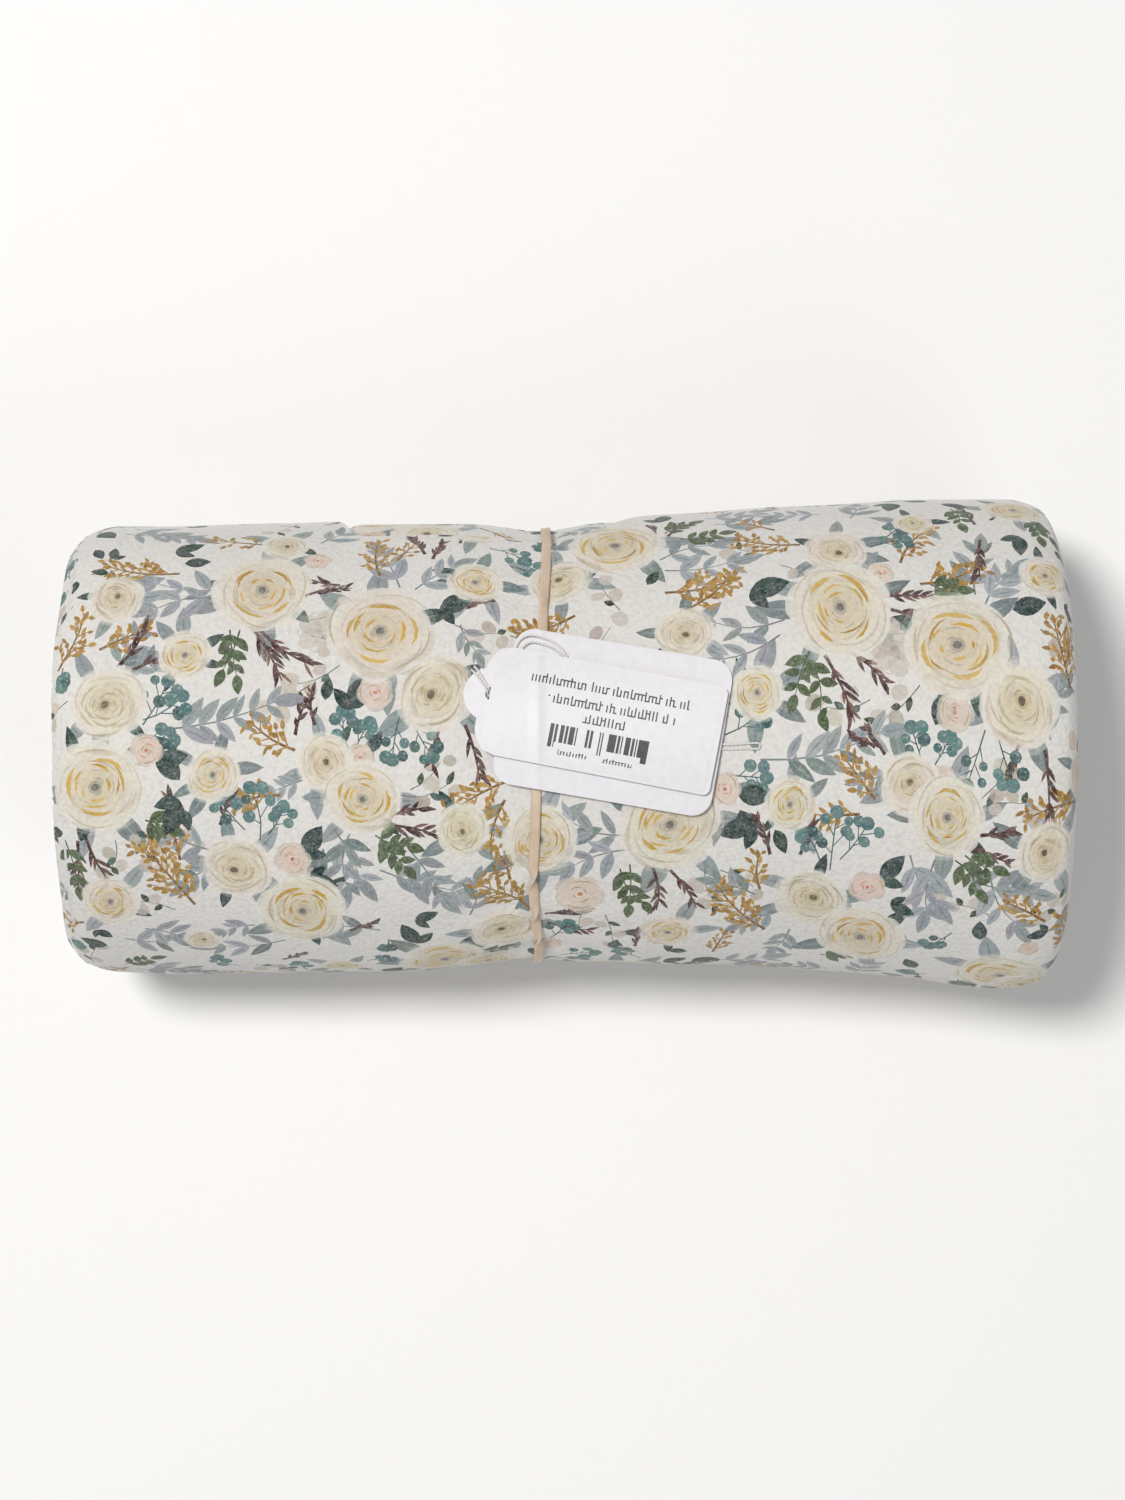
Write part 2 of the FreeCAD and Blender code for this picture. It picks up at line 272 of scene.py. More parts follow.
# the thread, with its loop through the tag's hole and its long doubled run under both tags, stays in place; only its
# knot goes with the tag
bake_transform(price_thread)


def knot(name, x, y, rise, seed, tall=0.55, wide=0.95):
    """A small pulled-tight overhand knot where a thread's two ends meet behind its card."""
    u = np.linspace(0, 2 * math.pi, 90)
    px = (np.sin(u) + 1.6 * np.sin(2 * u)) / 2.6
    py = (np.cos(u) - 1.6 * np.cos(2 * u)) / 2.6
    pz = -np.sin(3 * u)
    z = crown(x, y, rise)
    line = np.stack([x + px * wide, y + py * wide, z + pz * tall * 0.5], 1) * MM
    return thread_mesh(name, line, seed, pitch=1.4, step=0.12)


backing_knot = knot("backing_tag_knot", -18.85, 11.5, 0.72, 21, tall=0.5)
price_knot = knot("price_tag_knot", -20.1, 14.3, 2.45, 22, tall=0.5)
for ob, body in ((backing_knot, "roll"), (price_knot, "lifting_tag")):
    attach(ob, body)
print("threads", round(line_length(backing_line), 4), round(line_length(price_line), 4))
LAYOUT = [
    ('P', -124.3, 54.9, 8.2), ('P', -35, 83.9, 11), ('P', -124.6, 85.6, 10.5), ('P', -65.1, 101.7, 8),
    ('P', -89.9, 130.2, 9.8), ('P', -0.7, 47.7, 9), ('P', -27.5, 120.4, 7.6), ('P', -16.2, 157.2, 9.5),
    ('P', -101.5, 157.5, 5), ('P', -78.6, 32, 7), ('G', -83.7, 52.2, 14), ('G', -50.4, 66.5, 14.5),
    ('G', -104.1, 72.8, 7.4), ('G', -128.3, 107.7, 13), ('G', -96, 104.6, 7.4), ('G', -54.9, 111.3, 10.5),
    ('G', -72.5, 144.6, 12.5), ('G', -126.1, 141.7, 8.5), ('G', -24.4, 49.9, 7.6), ('G', -6.2, 124.6, 10.5),
    ('G', -33.5, 172.3, 13), ('G', -24.3, 22.3, 9), ('G', -63, 176.3, 6), ('P', 33.7, 69.4, 8),
    ('P', 76.1, 45.2, 9), ('P', 124.6, 88.7, 11), ('P', 94.8, 109.2, 8.2), ('P', 68.8, 143.3, 10.4),
    ('P', 132.5, 124.6, 8.4), ('P', 143.3, 105.4, 6.5), ('G', 14.8, 34.9, 13.5), ('G', 76.5, 64.2, 14.5),
    ('G', 98.8, 32.2, 5.6), ('G', 108.1, 74.3, 14.5), ('G', 133.7, 53.2, 7.2), ('G', 53.3, 86.6, 7.4),
    ('G', 105.2, 116.7, 10.5), ('G', 29.5, 120.6, 14), ('G', 62.3, 115.3, 7.2), ('G', 83.5, 156.9, 12.5),
    ('G', 29.6, 158.5, 8), ('G', 124.4, 171.9, 13), ('G', 128.3, 21, 9), ('B', -68.9, 40, 3.6),
    ('B', -51.5, 83.7, 4.6), ('B', -114.2, 98.1, 4.2), ('B', -55.5, 100.5, 3.6), ('B', -74.6, 127.7, 4.6),
    ('B', 88, 53.9, 3.6), ('B', 107, 91.2, 4.6), ('B', 103.6, 107.3, 3.4), ('B', 44.5, 111.1, 4.2),
    ('B', 4.9, 143, 6.5), ('B', 84.3, 137.8, 4.6), ('B', -4.3, 168.3, 4), ('Y', -138.8, 75.9, 16, 65),
    ('Y', -127.6, 71.1, 13, 25), ('Y', -107.2, 45.9, 20, 170), ('Y', -51.1, 47.1, 15, 95),
    ('Y', -46.4, 40.6, 9, 60), ('Y', -73.3, 98.4, 13, 150), ('Y', -77.5, 110, 12, 190),
    ('Y', -102.4, 142.6, 22, 125), ('Y', -105.7, 127.9, 9, 100), ('Y', -14.4, 107.4, 17, 205),
    ('Y', -15.8, 112.7, 12, 250), ('Y', -9.1, 149.1, 17, 140), ('Y', -14.6, 137, 10, 110),
    ('Y', -84.4, 31.1, 14, 165), ('Y', 3.5, 61.4, 15, 200), ('Y', -0.7, 67.2, 12, 170),
    ('Y', 28.4, 56.3, 19, 10), ('Y', 35.2, 61.8, 14, 40), ('Y', 93.8, 50.4, 16, 60),
    ('Y', 98.8, 57.3, 17, 20), ('Y', 66.6, 41.2, 17, 165), ('Y', 60, 32.4, 10, 140),
    ('Y', 85.4, 113.3, 12, 130), ('Y', 81.4, 117.4, 12, 190), ('Y', 56.8, 156, 20, 130),
    ('Y', 54.8, 140.2, 10, 95), ('Y', 138.9, 83.7, 17, 105), ('Y', 137.5, 78, 11, 70),
    ('Y', 140.6, 112.3, 15, 190), ('Y', 136.1, 118.9, 10, 250), ('Y', 143.9, 162.9, 17, 110),
    ('Y', 134, 145.3, 12, 150), ('T', -121.9, 75.5, 13, 60), ('T', -118.4, 76.9, 12, 25),
    ('T', -86.5, 64, 17, -60), ('T', -83.7, 65.6, 17, -35), ('T', -71.7, 54.3, 12, 10),
    ('T', -62.1, 50.8, 10, 160), ('T', -131.6, 120.9, 16, -65), ('T', -133.8, 122.6, 13, -95),
    ('T', -73.3, 94.5, 9, 70), ('T', -67.9, 92, 9, 95), ('T', -33.6, 92.5, 11, -100),
    ('T', -26.7, 92.6, 14, -75), ('T', -102.5, 119.3, 11, 120), ('T', -94.2, 117.9, 11, 70),
    ('T', -50.2, 118.3, 15, -12), ('T', -47.4, 115.6, 10, 10), ('T', -38.7, 38, 10, 110),
    ('T', -36.5, 40.5, 9, 70), ('T', -139.8, 193.8, 11, 80), ('T', -137.7, 193.8, 9, 60),
    ('T', -18.8, 55.9, 8, 200), ('T', -3.5, 151.2, 10, 15), ('T', -4.2, 156.1, 12, -10),
    ('T', -59.6, 153, 8, 20), ('T', -79.8, 170.1, 8, 40), ('T', -29, 32.2, 7, 80), ('T', 26.1, 33, 9, 100),
    ('T', 29.7, 32, 8, 60), ('T', 87.6, 61.2, 14, 0), ('T', 90.2, 64.9, 12, -12), ('T', 71.9, 77.5, 17, -65),
    ('T', 77.4, 76.1, 14, -40), ('T', 116.9, 40.3, 14, -95), ('T', 116.3, 32.7, 12, 100),
    ('T', 120.9, 29.6, 9, 60), ('T', 124.5, 97, 10, -110), ('T', 131.4, 99.2, 16, -85),
    ('T', 24.9, 133.2, 14, -85), ('T', 29.7, 134, 14, -60), ('T', 57.2, 129.1, 11, 110),
    ('T', 65.4, 129, 10, 75), ('T', 110.3, 124.2, 12, -15), ('T', 114.2, 120.7, 9, 12),
    ('T', 88, 102.1, 8, 130), ('T', 85.3, 100.4, 7, 160), ('T', 20.5, 166.2, 8, 90),
    ('T', -4.9, 151.3, 11, 20), ('D', -111.8, 101.3, 7.5, 10), ('D', -105.1, 111.1, 8.5, -110),
    ('D', -105, 105.9, 8, 130), ('D', -118, 105.8, 7, -100), ('D', -58.3, 88.2, 8.5, 60),
    ('D', -106.2, 41.5, 6, 10), ('D', -34, 59.1, 8, 15), ('D', -71.7, 125.9, 7.5, 50),
    ('D', -52.8, 99.2, 5, 60), ('D', -69.9, 133.5, 6.5, -20), ('D', -132.5, 32.7, 5, -60),
    ('D', -136.7, 46.3, 4, -90), ('D', -131.4, 116.6, 5, -100), ('D', -8.3, 71.5, 5, 60),
    ('D', -65.2, 85.5, 5, 80), ('D', -41.3, 149.3, 6, 30), ('D', -103.7, 113.8, 6, -140),
    ('D', 52, 57.2, 9, 5), ('D', 47.9, 112.6, 7.5, 0), ('D', 48.7, 116.6, 7.5, -70),
    ('D', 52.8, 120.7, 8.5, 190), ('D', 41.1, 118, 7, -80), ('D', 101.5, 94.4, 8.5, 60),
    ('D', 87.6, 135.1, 8, 50), ('D', 123.7, 64.4, 8, 15), ('D', 23.6, 53.3, 5, 60),
    ('D', 107.1, 109.8, 6, -30), ('D', 90.9, 143, 6, -20), ('D', 116.7, 153.3, 6, 100),
    ('D', 58.3, 122, 6, -60), ('D', 85.4, 52.1, 5, -60), ('D', 137.3, 34, 5, -60),
    ('E', -115.2, 91.6, 15, 60), ('E', -115.3, 90.3, 14, 30), ('E', -114.5, 94.2, 9, -10),
    ('E', -58.2, 99.8, 13, 100), ('E', -56.9, 98.6, 9, 60), ('E', -41.8, 89.8, 14, -60),
    ('E', -44.6, 89.7, 13, -100), ('E', -83.3, 122.1, 16, 100), ('E', -87.4, 119.3, 12, 130),
    ('E', -81.2, 120.8, 10, 60), ('E', -20.5, 34, 12, -20), ('E', -14.7, 40.9, 10, -10),
    ('E', -69.2, 193.8, 9, 60), ('E', 44.4, 97.2, 14, 30), ('E', 45.1, 107.4, 12, -5),
    ('E', 98.8, 105.3, 12, 110), ('E', 101.5, 104, 9, 60), ('E', 115.1, 95, 16, -110),
    ('E', 118.4, 96.1, 14, -70), ('E', 73.8, 133.2, 18, 85), ('E', 76.4, 130, 14, 55),
    ('E', 70.9, 130.4, 10, 120), ('E', 85.9, 44.4, 12, 20), ('E', 90.4, 40.2, 10, 60),
    ('E', -3.5, 164.6, 12, 60), ('E', -0.7, 176.7, 12, 20), ('E', -0.7, 29.2, 10, 70),
    ('S', -93.4, 52.1, 23, 172), ('S', -95.3, 55.7, 20, 190), ('S', -111.8, 92.9, 36, 12),
    ('S', -45.3, 52.1, 17, 110), ('S', -41.1, 53, 15, 40), ('S', -62.6, 119.6, 17, -65),
    ('S', -58.5, 120.3, 17, -95), ('S', -50.5, 131.3, 24, -20), ('S', -42.1, 125.6, 18, -60),
    ('S', -123.2, 76.9, 12, 60), ('S', -119, 78.3, 11, 25), ('S', -97.3, 124.9, 12, 160),
    ('S', -95.4, 129.4, 12, 215), ('S', 7.6, 121.7, 16, 185), ('S', -28.3, 64.8, 10, -60),
    ('S', -123.1, 15.1, 22, -30), ('S', -125.2, 21.6, 16, -10), ('S', -71.3, 106.1, 9, 200),
    ('S', -51.2, 153.1, 24, 175), ('S', -123.4, 157.5, 16, 0), ('S', -117.2, 152.7, 13, -20),
    ('S', -78.2, 157.6, 20, 190), ('S', -25.9, 148.4, 12, 80), ('S', -86.2, 150.5, 10, 200),
    ('S', 28.6, 47.9, 20, 5), ('S', 27.3, 43.5, 17, 20), ('S', 61.3, 67.2, 22, 178),
    ('S', 59.8, 71.5, 19, 200), ('S', 113.8, 60.2, 16, 80), ('S', 116.3, 63.1, 14, 50),
    ('S', 54, 103.7, 36, 12), ('S', 18.6, 123.3, 19, 165), ('S', 17.2, 127.7, 17, 200),
    ('S', 95.5, 127.3, 17, -60), ('S', 102.3, 128.2, 17, -95), ('S', 108, 132, 22, -10),
    ('S', 117.6, 131.3, 18, -60), ('S', 132.8, 96.8, 10, 90), ('S', 131.4, 90.8, 11, 50),
    ('S', 53.5, 142, 12, 160), ('S', 59.2, 147.4, 12, 215), ('S', 40.8, 19.9, 16, 20),
    ('S', 81.5, 28.7, 14, 80), ('S', 100.4, 157.9, 19, 175), ('S', 73.3, 24.2, 12, 170),
    ('S', 134.4, 149.1, 13, 10), ('S', 89.4, 105.7, 9, 200), ('S', 43.4, 25.5, 14, 0),
    ('O', -92, 65.5, 13, -80), ('O', -89.2, 65.5, 12, -110), ('O', -137.4, 123, 14, -80),
    ('O', -50.3, 122.5, 10, -50), ('O', -51.6, 121.1, 9, -20), ('O', -125.3, 174.8, 9, 30),
    ('O', -114.8, 116.5, 6, -20), ('O', -27.7, 169.8, 9, 10), ('O', 66.5, 77.3, 15, -75),
    ('O', 67.9, 76, 12, -110), ('O', 18.6, 132.4, 14, -90), ('O', 15.9, 134, 13, -60),
    ('O', 107.8, 127.8, 10, -50), ('O', 110.4, 126.2, 8, -20), ('O', 33.2, 34.1, 11, 10),
    ('O', 29, 30.3, 9, 40), ('O', 110.4, 22, 10, -80), ('O', 73.1, 169.1, 9, 10), ('O', 101.6, 57.3, 7, -10),
    ('O', 132.5, 27.4, 9, -80), ('W', -69.9, 62.7, 13, 30), ('W', -69.8, 67.4, 13, -10),
    ('W', -61.2, 76.1, 15, 200), ('W', -69.4, 81.5, 12, 215), ('W', -119, 116.5, 14, -70),
    ('W', -113.5, 117.8, 12, -20), ('W', -108.1, 144.5, 15, 170), ('W', -44.6, 110.4, 13, 10),
    ('W', -41.8, 109.1, 11, 40), ('W', -59.1, 141.1, 12, 150), ('W', -61.7, 136, 11, 180),
    ('W', -14.5, 67.2, 10, -30), ('W', -29.7, 64.8, 12, -10), ('W', -123.3, 122, 8, -100),
    ('W', 81.5, 76.1, 13, 20), ('W', 89.8, 73.3, 13, -20), ('W', 56.6, 44.5, 12, 150),
    ('W', 60.6, 49, 11, -40), ('W', 97.6, 84.8, 15, 220), ('W', 84, 88.8, 12, 190),
    ('W', 39.4, 132.4, 14, -75), ('W', 43.5, 133.9, 11, -30), ('W', 11.9, 150.6, 13, -80),
    ('W', 9, 144.5, 13, -110), ('W', 112.6, 114.4, 13, 10), ('W', 113.9, 111.9, 10, 40),
    ('W', 118.5, 143.6, 13, 170), ('W', 126.7, 142.8, 12, 20), ('W', 131, 69.5, 12, -20),
    ('W', 15.9, 61.4, 10, 120), ('F', -67, 66.2, 7), ('F', 90.8, 75.7, 7.5),
]

# ---------------------------------------------------------------- the rolled cloth
LAYERS = 5  # the cloth is folded in five before it is rolled
PITCH = 3.53  # mm that one turn adds
GAUGE = 0.60  # thickness of the knit
R0 = 61.0  # mm of cloth per radian on the outside
START = math.radians(92.0)  # where the length coordinate s is zero, from the crown towards +Y
# where the outer wrap's free edge lies along the roll, in degrees from the crown
EDGE_AT = smooth_through(
    np.array([-145.0, -80, -66, -58, -30, -12, -6, 0, 8, 16, 26, 60, 80, 145]),
    np.array([90.5, 90.5, 88, 68, 66.5, 66, 66, 62.5, 68.5, 76, 86, 90.5, 92, 92]),
)


def step_share(x, psi, k):
    """How far the cloth has stepped in from turn k to turn k + 1, 0 to 1."""
    lead = np.radians(92.0 - 10.0 - EDGE_AT(x)) * math.exp(-k / 1.5)
    wide = min(0.50 + 0.85 * k, 2 * math.pi)
    return smoothstep((psi - 2 * math.pi * (k + 1) - lead) / wide + 0.5)


def depth(x, psi):
    """Depth of the packet's outer face under the roll's outer shape, in mm, at psi radians of winding."""
    d = 0.0
    for k in range(17):
        d = d + step_share(x, psi, k)
    return PITCH * d


rng0 = random.Random(5)
CREASES = [  # angle from the crown, width, depth beside the band, reach along the roll, side
    (math.radians(a), math.radians(w), dep, reach, side)
    for a, w, dep, reach, side in (
        (-34, 3.2, 0.75, 13, -1), (-45, 3.6, 0.95, 20, -1), (-57, 3.4, 0.75, 14, -1), (-71, 5.0, 0.95, 20, -1),
        (-31, 3.6, 0.65, 16, 1), (-41, 4.2, 0.95, 13, 1), (-54, 3.6, 0.75, 23, 1), (-67, 4.2, 0.85, 15, 1),
        (-84, 5.0, 0.75, 18, 1), (31, 3.6, 0.7, 14, -1), (41, 4.0, 0.9, 18, -1), (53, 3.6, 0.7, 13, -1),
        (30, 4.0, 0.8, 14, 1), (42, 4.2, 0.9, 18, 1), (54, 3.6, 0.6, 12, 1), (80, 5.0, 0.8, 16, 1),
        (83, 5.0, 0.7, 18, -1), (-96, 5.5, 0.9, 16, -1), (-110, 5.0, 0.8, 20, 1), (104, 5.5, 0.8, 18, -1),
        (118, 5.5, 0.7, 16, 1),
    )
]


def swell(x, phi):
    """Small outward swelling of the cloth, in mm: creases drawn in by the band, and the slack of a soft roll."""
    wrapped = (phi + math.pi) % (2 * math.pi) - math.pi
    away = np.abs(x - BAND_X)
    out = np.zeros(np.broadcast(x, phi).shape)
    for a, w, dep, reach, side in CREASES:
        beside = 1.0 / (1.0 + np.exp(-(x - BAND_X) * side / 1.3))
        bent = wrapped - a - 0.0035 * (away - 8) * (1 if a > 0 else -1)
        out = out - 1.3 * dep * np.exp(-((bent / w) ** 2)) * np.exp(-away / reach) * beside * smoothstep(away / 4.0)
    clear = smoothstep((np.abs(wrapped) - math.radians(24)) / math.radians(16))
    slack = (
        0.30 * np.sin(x / 17.0 + 2.1 * np.sin(phi * 2.0) + 0.4)
        + 0.26 * np.sin(x / 9.5 - phi * 3.3 + 1.7)
        + 0.30 * np.sin(x / 31.0 + phi * 5.0 + 0.9)
        + 0.16 * np.sin(x / 6.1 + phi * 7.0)
    )
    return out + clear * slack * 0.62


def place(x, psi, dep, ride_on=1.0):
    """A point of the wound cloth, in mm. x along the roll, psi winding angle, dep depth under the outer shape."""
    a, yo, top, low = (f(x) for f in PROFILE)
    b, cz = (top - low) / 2, (top + low) / 2
    phi = START - psi
    lift = swell(x, phi) * ride_on
    rho = 1.0 - (dep - lift) / 59.0
    y = yo + a * rho * np.sin(phi)
    z = cz + b * rho * np.cos(phi)
    floor = cz * (1.0 - rho) + 0.03
    over = z - floor
    z = floor + 0.5 * (over + np.sqrt(over * over + 1.6 * 1.6))
    return np.stack(np.broadcast_arrays(x + 0.0 * y, y, z), -1)


# the outer wrap's own coordinate u: along the roll, and on round its two ends
FOLD_X, FOLD_R = -140.1, 0.72
_xs = np.concatenate([np.linspace(FOLD_X, 130, 400), np.linspace(130.2, 141.35, 120)])
_a = PROFILE[0](_xs)
_du = np.sqrt(np.diff(_xs) ** 2 + (0.92 * np.diff(_a)) ** 2)
_us = np.concatenate([[0], np.cumsum(_du)])
_us = _us - np.interp(0.0, _xs, _us)
U_FOLD, U_LOW, U_HIGH = float(_us[0]), float(_us[0]) - FOLD_R * 2.7, float(_us[-1])


def outer(u, s, sink=0.0):
    """A point on the outer wrap's face, in mm, or sink mm under it."""
    u, s = np.asarray(u, float), np.asarray(s, float)
    psi = s / R0
    turn = np.clip((U_FOLD - u) / FOLD_R, 0, 3.0)
    x = np.interp(u, _us, _xs) - (FOLD_R - sink * 0.55) * np.sin(turn)
    fall = FOLD_R * (1 - np.cos(turn)) + sink * np.cos(turn)
    xc = np.clip(x, FOLD_X, 141.35)
    edge = R0 * (START - np.radians(EDGE_AT(xc)))
    lifted = 0.55 * np.exp(-np.clip(s - edge, 0, None) / 9.0)
    uneven = 0.35 * np.sin(s / 17.0) + 0.28 * np.sin(s / 7.3 + 1.0)
    near = smoothstep((-120 - u) / 16.0)
    p = place(xc, psi, depth(xc, psi) + fall - lifted)
    p[..., 0] += (x - xc) + near * uneven * 0.8
    return p


# ---------------------------------------------------------------- the print, drawn as flat shapes in (u, s)
WHITE = np.array([223, 221, 217], float)
INK = {
    "cream": (221, 214, 197), "cream2": (206, 191, 160), "stroke": (164, 145, 106), "halo": (225, 221, 212),
    "gold": (199, 160, 62), "gold2": (176, 135, 40), "grey": (142, 138, 130), "olive": (84, 74, 44),
    "peach": (220, 201, 187), "orange": (200, 124, 90), "leafgrey": (144, 153, 155), "lilac": (157, 162, 168),
    "deepgrey": (112, 126, 126), "teal": (32, 58, 55), "teal2": (58, 88, 82), "berry": (80, 118, 117),
    "berry2": (52, 88, 88), "ivy": (70, 90, 52), "ivy2": (46, 64, 38), "sprig": (165, 125, 45),
    "sprig2": (122, 84, 26), "twig": (70, 38, 36), "twig2": (112, 76, 68), "beige": (196, 187, 175),
    "beige2": (178, 168, 155), "stem": (102, 106, 94),
}
SHAPES = []  # points, screen colour, strength
art = random.Random(77)
FINE = [True]  # off for the repeats on the underside, which are drawn with fewer strokes


def ink(name, spread=7):
    j = art.uniform(-spread, spread)
    return np.clip(np.array(INK[name], float) + j + np.array([art.uniform(-3, 3) for _ in range(3)]), 0, 255)


def shape(points, colour, strength=1.0):
    SHAPES.append((np.asarray(points, float), np.asarray(colour, float), strength))


def blob(cx, cy, rx, ry, turn, n, rough, colour, strength=1.0):
    t = np.arange(n) * 2 * math.pi / n
    r = 1 + sum(
        rough / k * art.uniform(0.4, 1.0) * np.cos(k * t + art.uniform(0, 6.28)) for k in (2, 3, 5)
    )
    px, py = rx * r * np.cos(t), ry * r * np.sin(t)
    c, s = math.cos(turn), math.sin(turn)
    shape(np.stack([cx + px * c - py * s, cy + px * s + py * c], 1), colour, strength)


def petal_arc(cx, cy, r, flat, turn, a0, a1, width, colour, strength=1.0, wave=0.05):
    """A brush stroke along part of an oval, thin at both ends."""
    n = max(4, int(r * (a1 - a0) / 1.9))
    n = min(n, 10) if FINE[0] else 4
    t = np.linspace(a0, a1, n)
    body = np.sin(np.linspace(0, math.pi, n)) ** 0.6 * width / 2
    w = 1 + wave * np.sin(2.3 * t + art.uniform(0, 6.28))
    out = np.stack([(r * w + body) * np.cos(t), flat * (r * w + body) * np.sin(t)], 1)
    inn = np.stack([(r * w - body) * np.cos(t), flat * (r * w - body) * np.sin(t)], 1)[::-1][1:-1]
    p = np.concatenate([out, inn])
    c, s = math.cos(turn), math.sin(turn)
    shape(np.stack([cx + p[:, 0] * c - p[:, 1] * s, cy + p[:, 0] * s + p[:, 1] * c], 1), colour, strength)


def leaf(x, y, angle, length, width, colour, vein=None, pointed=1.0):
    """A leaf that starts at x, y and points along angle. Angles have +Y up, while s runs down."""
    n = (3 if length < 2.5 else 5 if length < 5 else 6) if FINE[0] else (2 if length < 2.5 else 4)
    t = np.linspace(0, 1, n + 1)
    half = width / 2 * np.sin(math.pi * t ** (0.85 * pointed)) ** (0.9 if pointed >= 1 else 0.7)
    bend = art.uniform(-0.12, 0.12) * length * t * t
    left = np.stack([t * length, bend + half], 1)
    right = np.stack([t * length, bend - half], 1)[::-1][1:-1]
    p = np.concatenate([left, right])
    c, s = math.cos(angle), -math.sin(angle)
    shape(np.stack([x + p[:, 0] * c - p[:, 1] * s, y + p[:, 0] * s + p[:, 1] * c], 1), colour)
    if vein is not None and FINE[0]:
        q = np.array([(0.04, 0.0), (0.45, 0.030), (0.88, 0.0), (0.45, -0.030)]) * length
        q[:, 1] += np.interp(q[:, 0] / length, t, bend)
        shape(np.stack([x + q[:, 0] * c - q[:, 1] * s, y + q[:, 0] * s + q[:, 1] * c], 1), vein, 0.75)


def twig(x, y, angle, length, w0, w1, colour, bow=0.0, n=4):
    """A tapering stem. Returns a function for the points along it."""
    n = n if FINE[0] else 2
    t = np.linspace(0, 1, n + 1)
    off = bow * length * np.sin(math.pi * t)
    half = (w0 + (w1 - w0) * t) / 2
    c, s = math.cos(angle), -math.sin(angle)
    a = np.stack([t * length, off + half], 1)
    b = np.stack([t * length, off - half], 1)[::-1]
    p = np.concatenate([a, b])
    shape(np.stack([x + p[:, 0] * c - p[:, 1] * s, y + p[:, 0] * s + p[:, 1] * c], 1), colour)

    def at(v):
        o = bow * length * math.sin(math.pi * v)
        return x + v * length * c - o * s, y + v * length * s + o * c

    return at


def petals_round(x, y, r, turn, many, reach, size, name):
    """Soft outer petals, so that the flower's outline isn't an oval."""
    for i in range(many):
        a = turn + i * 2 * math.pi / many + art.uniform(-0.25, 0.25)
        k = art.uniform(0.9, 1.1)
        blob(
            x + reach * r * math.cos(a), y + reach * r * 0.92 * math.sin(a), r * size * k, r * size * 0.8 * k,
            a + 1.57, 12 if FINE[0] else 8, 0.08, ink(name, 2), 0.8,
        )


def soft_ground(x, y, r, flat, turn):
    """A flower's pale ground: soft at the rim, warmer towards the middle."""
    if FINE[0]:
        steps = ((1.10, "halo", 0.30), (1.02, "halo", 0.45), (0.93, "cream", 0.60), (0.82, "cream", 0.60),
                 (0.66, "cream2", 0.30), (0.50, "cream2", 0.35), (0.34, "cream2", 0.45))
    else:
        steps = ((1.02, "halo", 0.55), (0.88, "cream", 0.7), (0.50, "cream2", 0.5))
    for k, name, strength in steps:
        blob(x, y, r * k, r * k * flat, turn, 18 if k > 0.6 else 13, 0.07, ink(name, 2), strength)


def dusk(x, y, r, flat, turn):
    """Shaded creases between the outer petals."""
    for _ in range(7 if FINE[0] else 2):
        a = art.uniform(0, 6.28)
        k = art.uniform(0.58, 0.97)
        petal_arc(
            x, y, r * k, flat, turn, a, a + art.uniform(0.5, 1.2), r * art.uniform(0.09, 0.16),
            ink("beige2" if art.random() < 0.6 else "stroke", 6), art.uniform(0.16, 0.34), wave=0.09,
        )


def plain_rose(x, y, r):
    turn = art.uniform(0, 3.1)
    petals_round(x, y, r, turn, 6, 0.62, 0.50, "halo")
    soft_ground(x, y, r, 0.91, turn)
    dusk(x, y, r, 0.88, turn)
    cx, cy = x + art.uniform(-0.12, 0.12) * r, y + art.uniform(-0.12, 0.12) * r
    for ring in (0.90, 0.78, 0.66, 0.54, 0.43, 0.33, 0.24) if FINE[0] else (0.84, 0.60, 0.36):
        a = art.uniform(0, 6.28)
        for _ in range(3):
            span = art.uniform(0.8, 1.7)
            petal_arc(
                x + (cx - x) * (1 - ring), y + (cy - y) * (1 - ring), r * ring * art.uniform(0.93, 1.06),
                0.86, turn, a, a + span, r * (0.045 + 0.05 * art.random()),
                ink("stroke" if art.random() < 0.7 else "beige2", 10), art.uniform(0.30, 0.62) * (1.25 - 0.5 * ring), wave=0.08,
            )
            a += span + art.uniform(0.2, 0.9)
    blob(cx, cy, r * 0.19, r * 0.16, turn, 9, 0.12, ink("stroke"), 0.45)
    blob(cx, cy, r * 0.115, r * 0.095, turn, 8, 0.18, ink("olive"), 0.9)


def ringed_rose(x, y, r):
    turn = art.uniform(0, 3.1)
    petals_round(x, y, r, turn, 7, 0.66, 0.47, "halo")
    soft_ground(x, y, r, 0.93, turn)
    dusk(x, y, r, 0.9, turn)
    rings = (
        (0.92, "stroke", 0.04, 3), (0.80, "beige2", 0.05, 3), (0.66, "gold", 0.085, 4), (0.60, "stroke", 0.035, 3),
        (0.54, "gold2", 0.05, 3), (0.46, "gold", 0.065, 3), (0.38, "grey", 0.03, 3), (0.30, "gold", 0.06, 3),
        (0.20, "grey", 0.05, 2),
    )
    for ring, name, wide, many in rings if FINE[0] else rings[2::2]:
        a = art.uniform(0, 6.28)
        gilt = name.startswith("gold")
        for _ in range(many):
            span = art.uniform(0.6, 1.5) if gilt else art.uniform(0.8, 1.7)
            petal_arc(
                x, y, r * ring * art.uniform(0.94, 1.06), 0.88, turn, a, a + span, r * wide * art.uniform(0.7, 1.35),
                ink(name, 12), art.uniform(0.78, 0.99) if gilt else art.uniform(0.28, 0.55), wave=0.07,
            )
            a += span + art.uniform(0.15, 0.7)
    blob(x, y, r * 0.16, r * 0.14, turn, 9, 0.12, ink("grey"), 0.5)
    blob(x, y, r * 0.09, r * 0.08, turn, 7, 0.12, (108, 104, 96), 0.9)


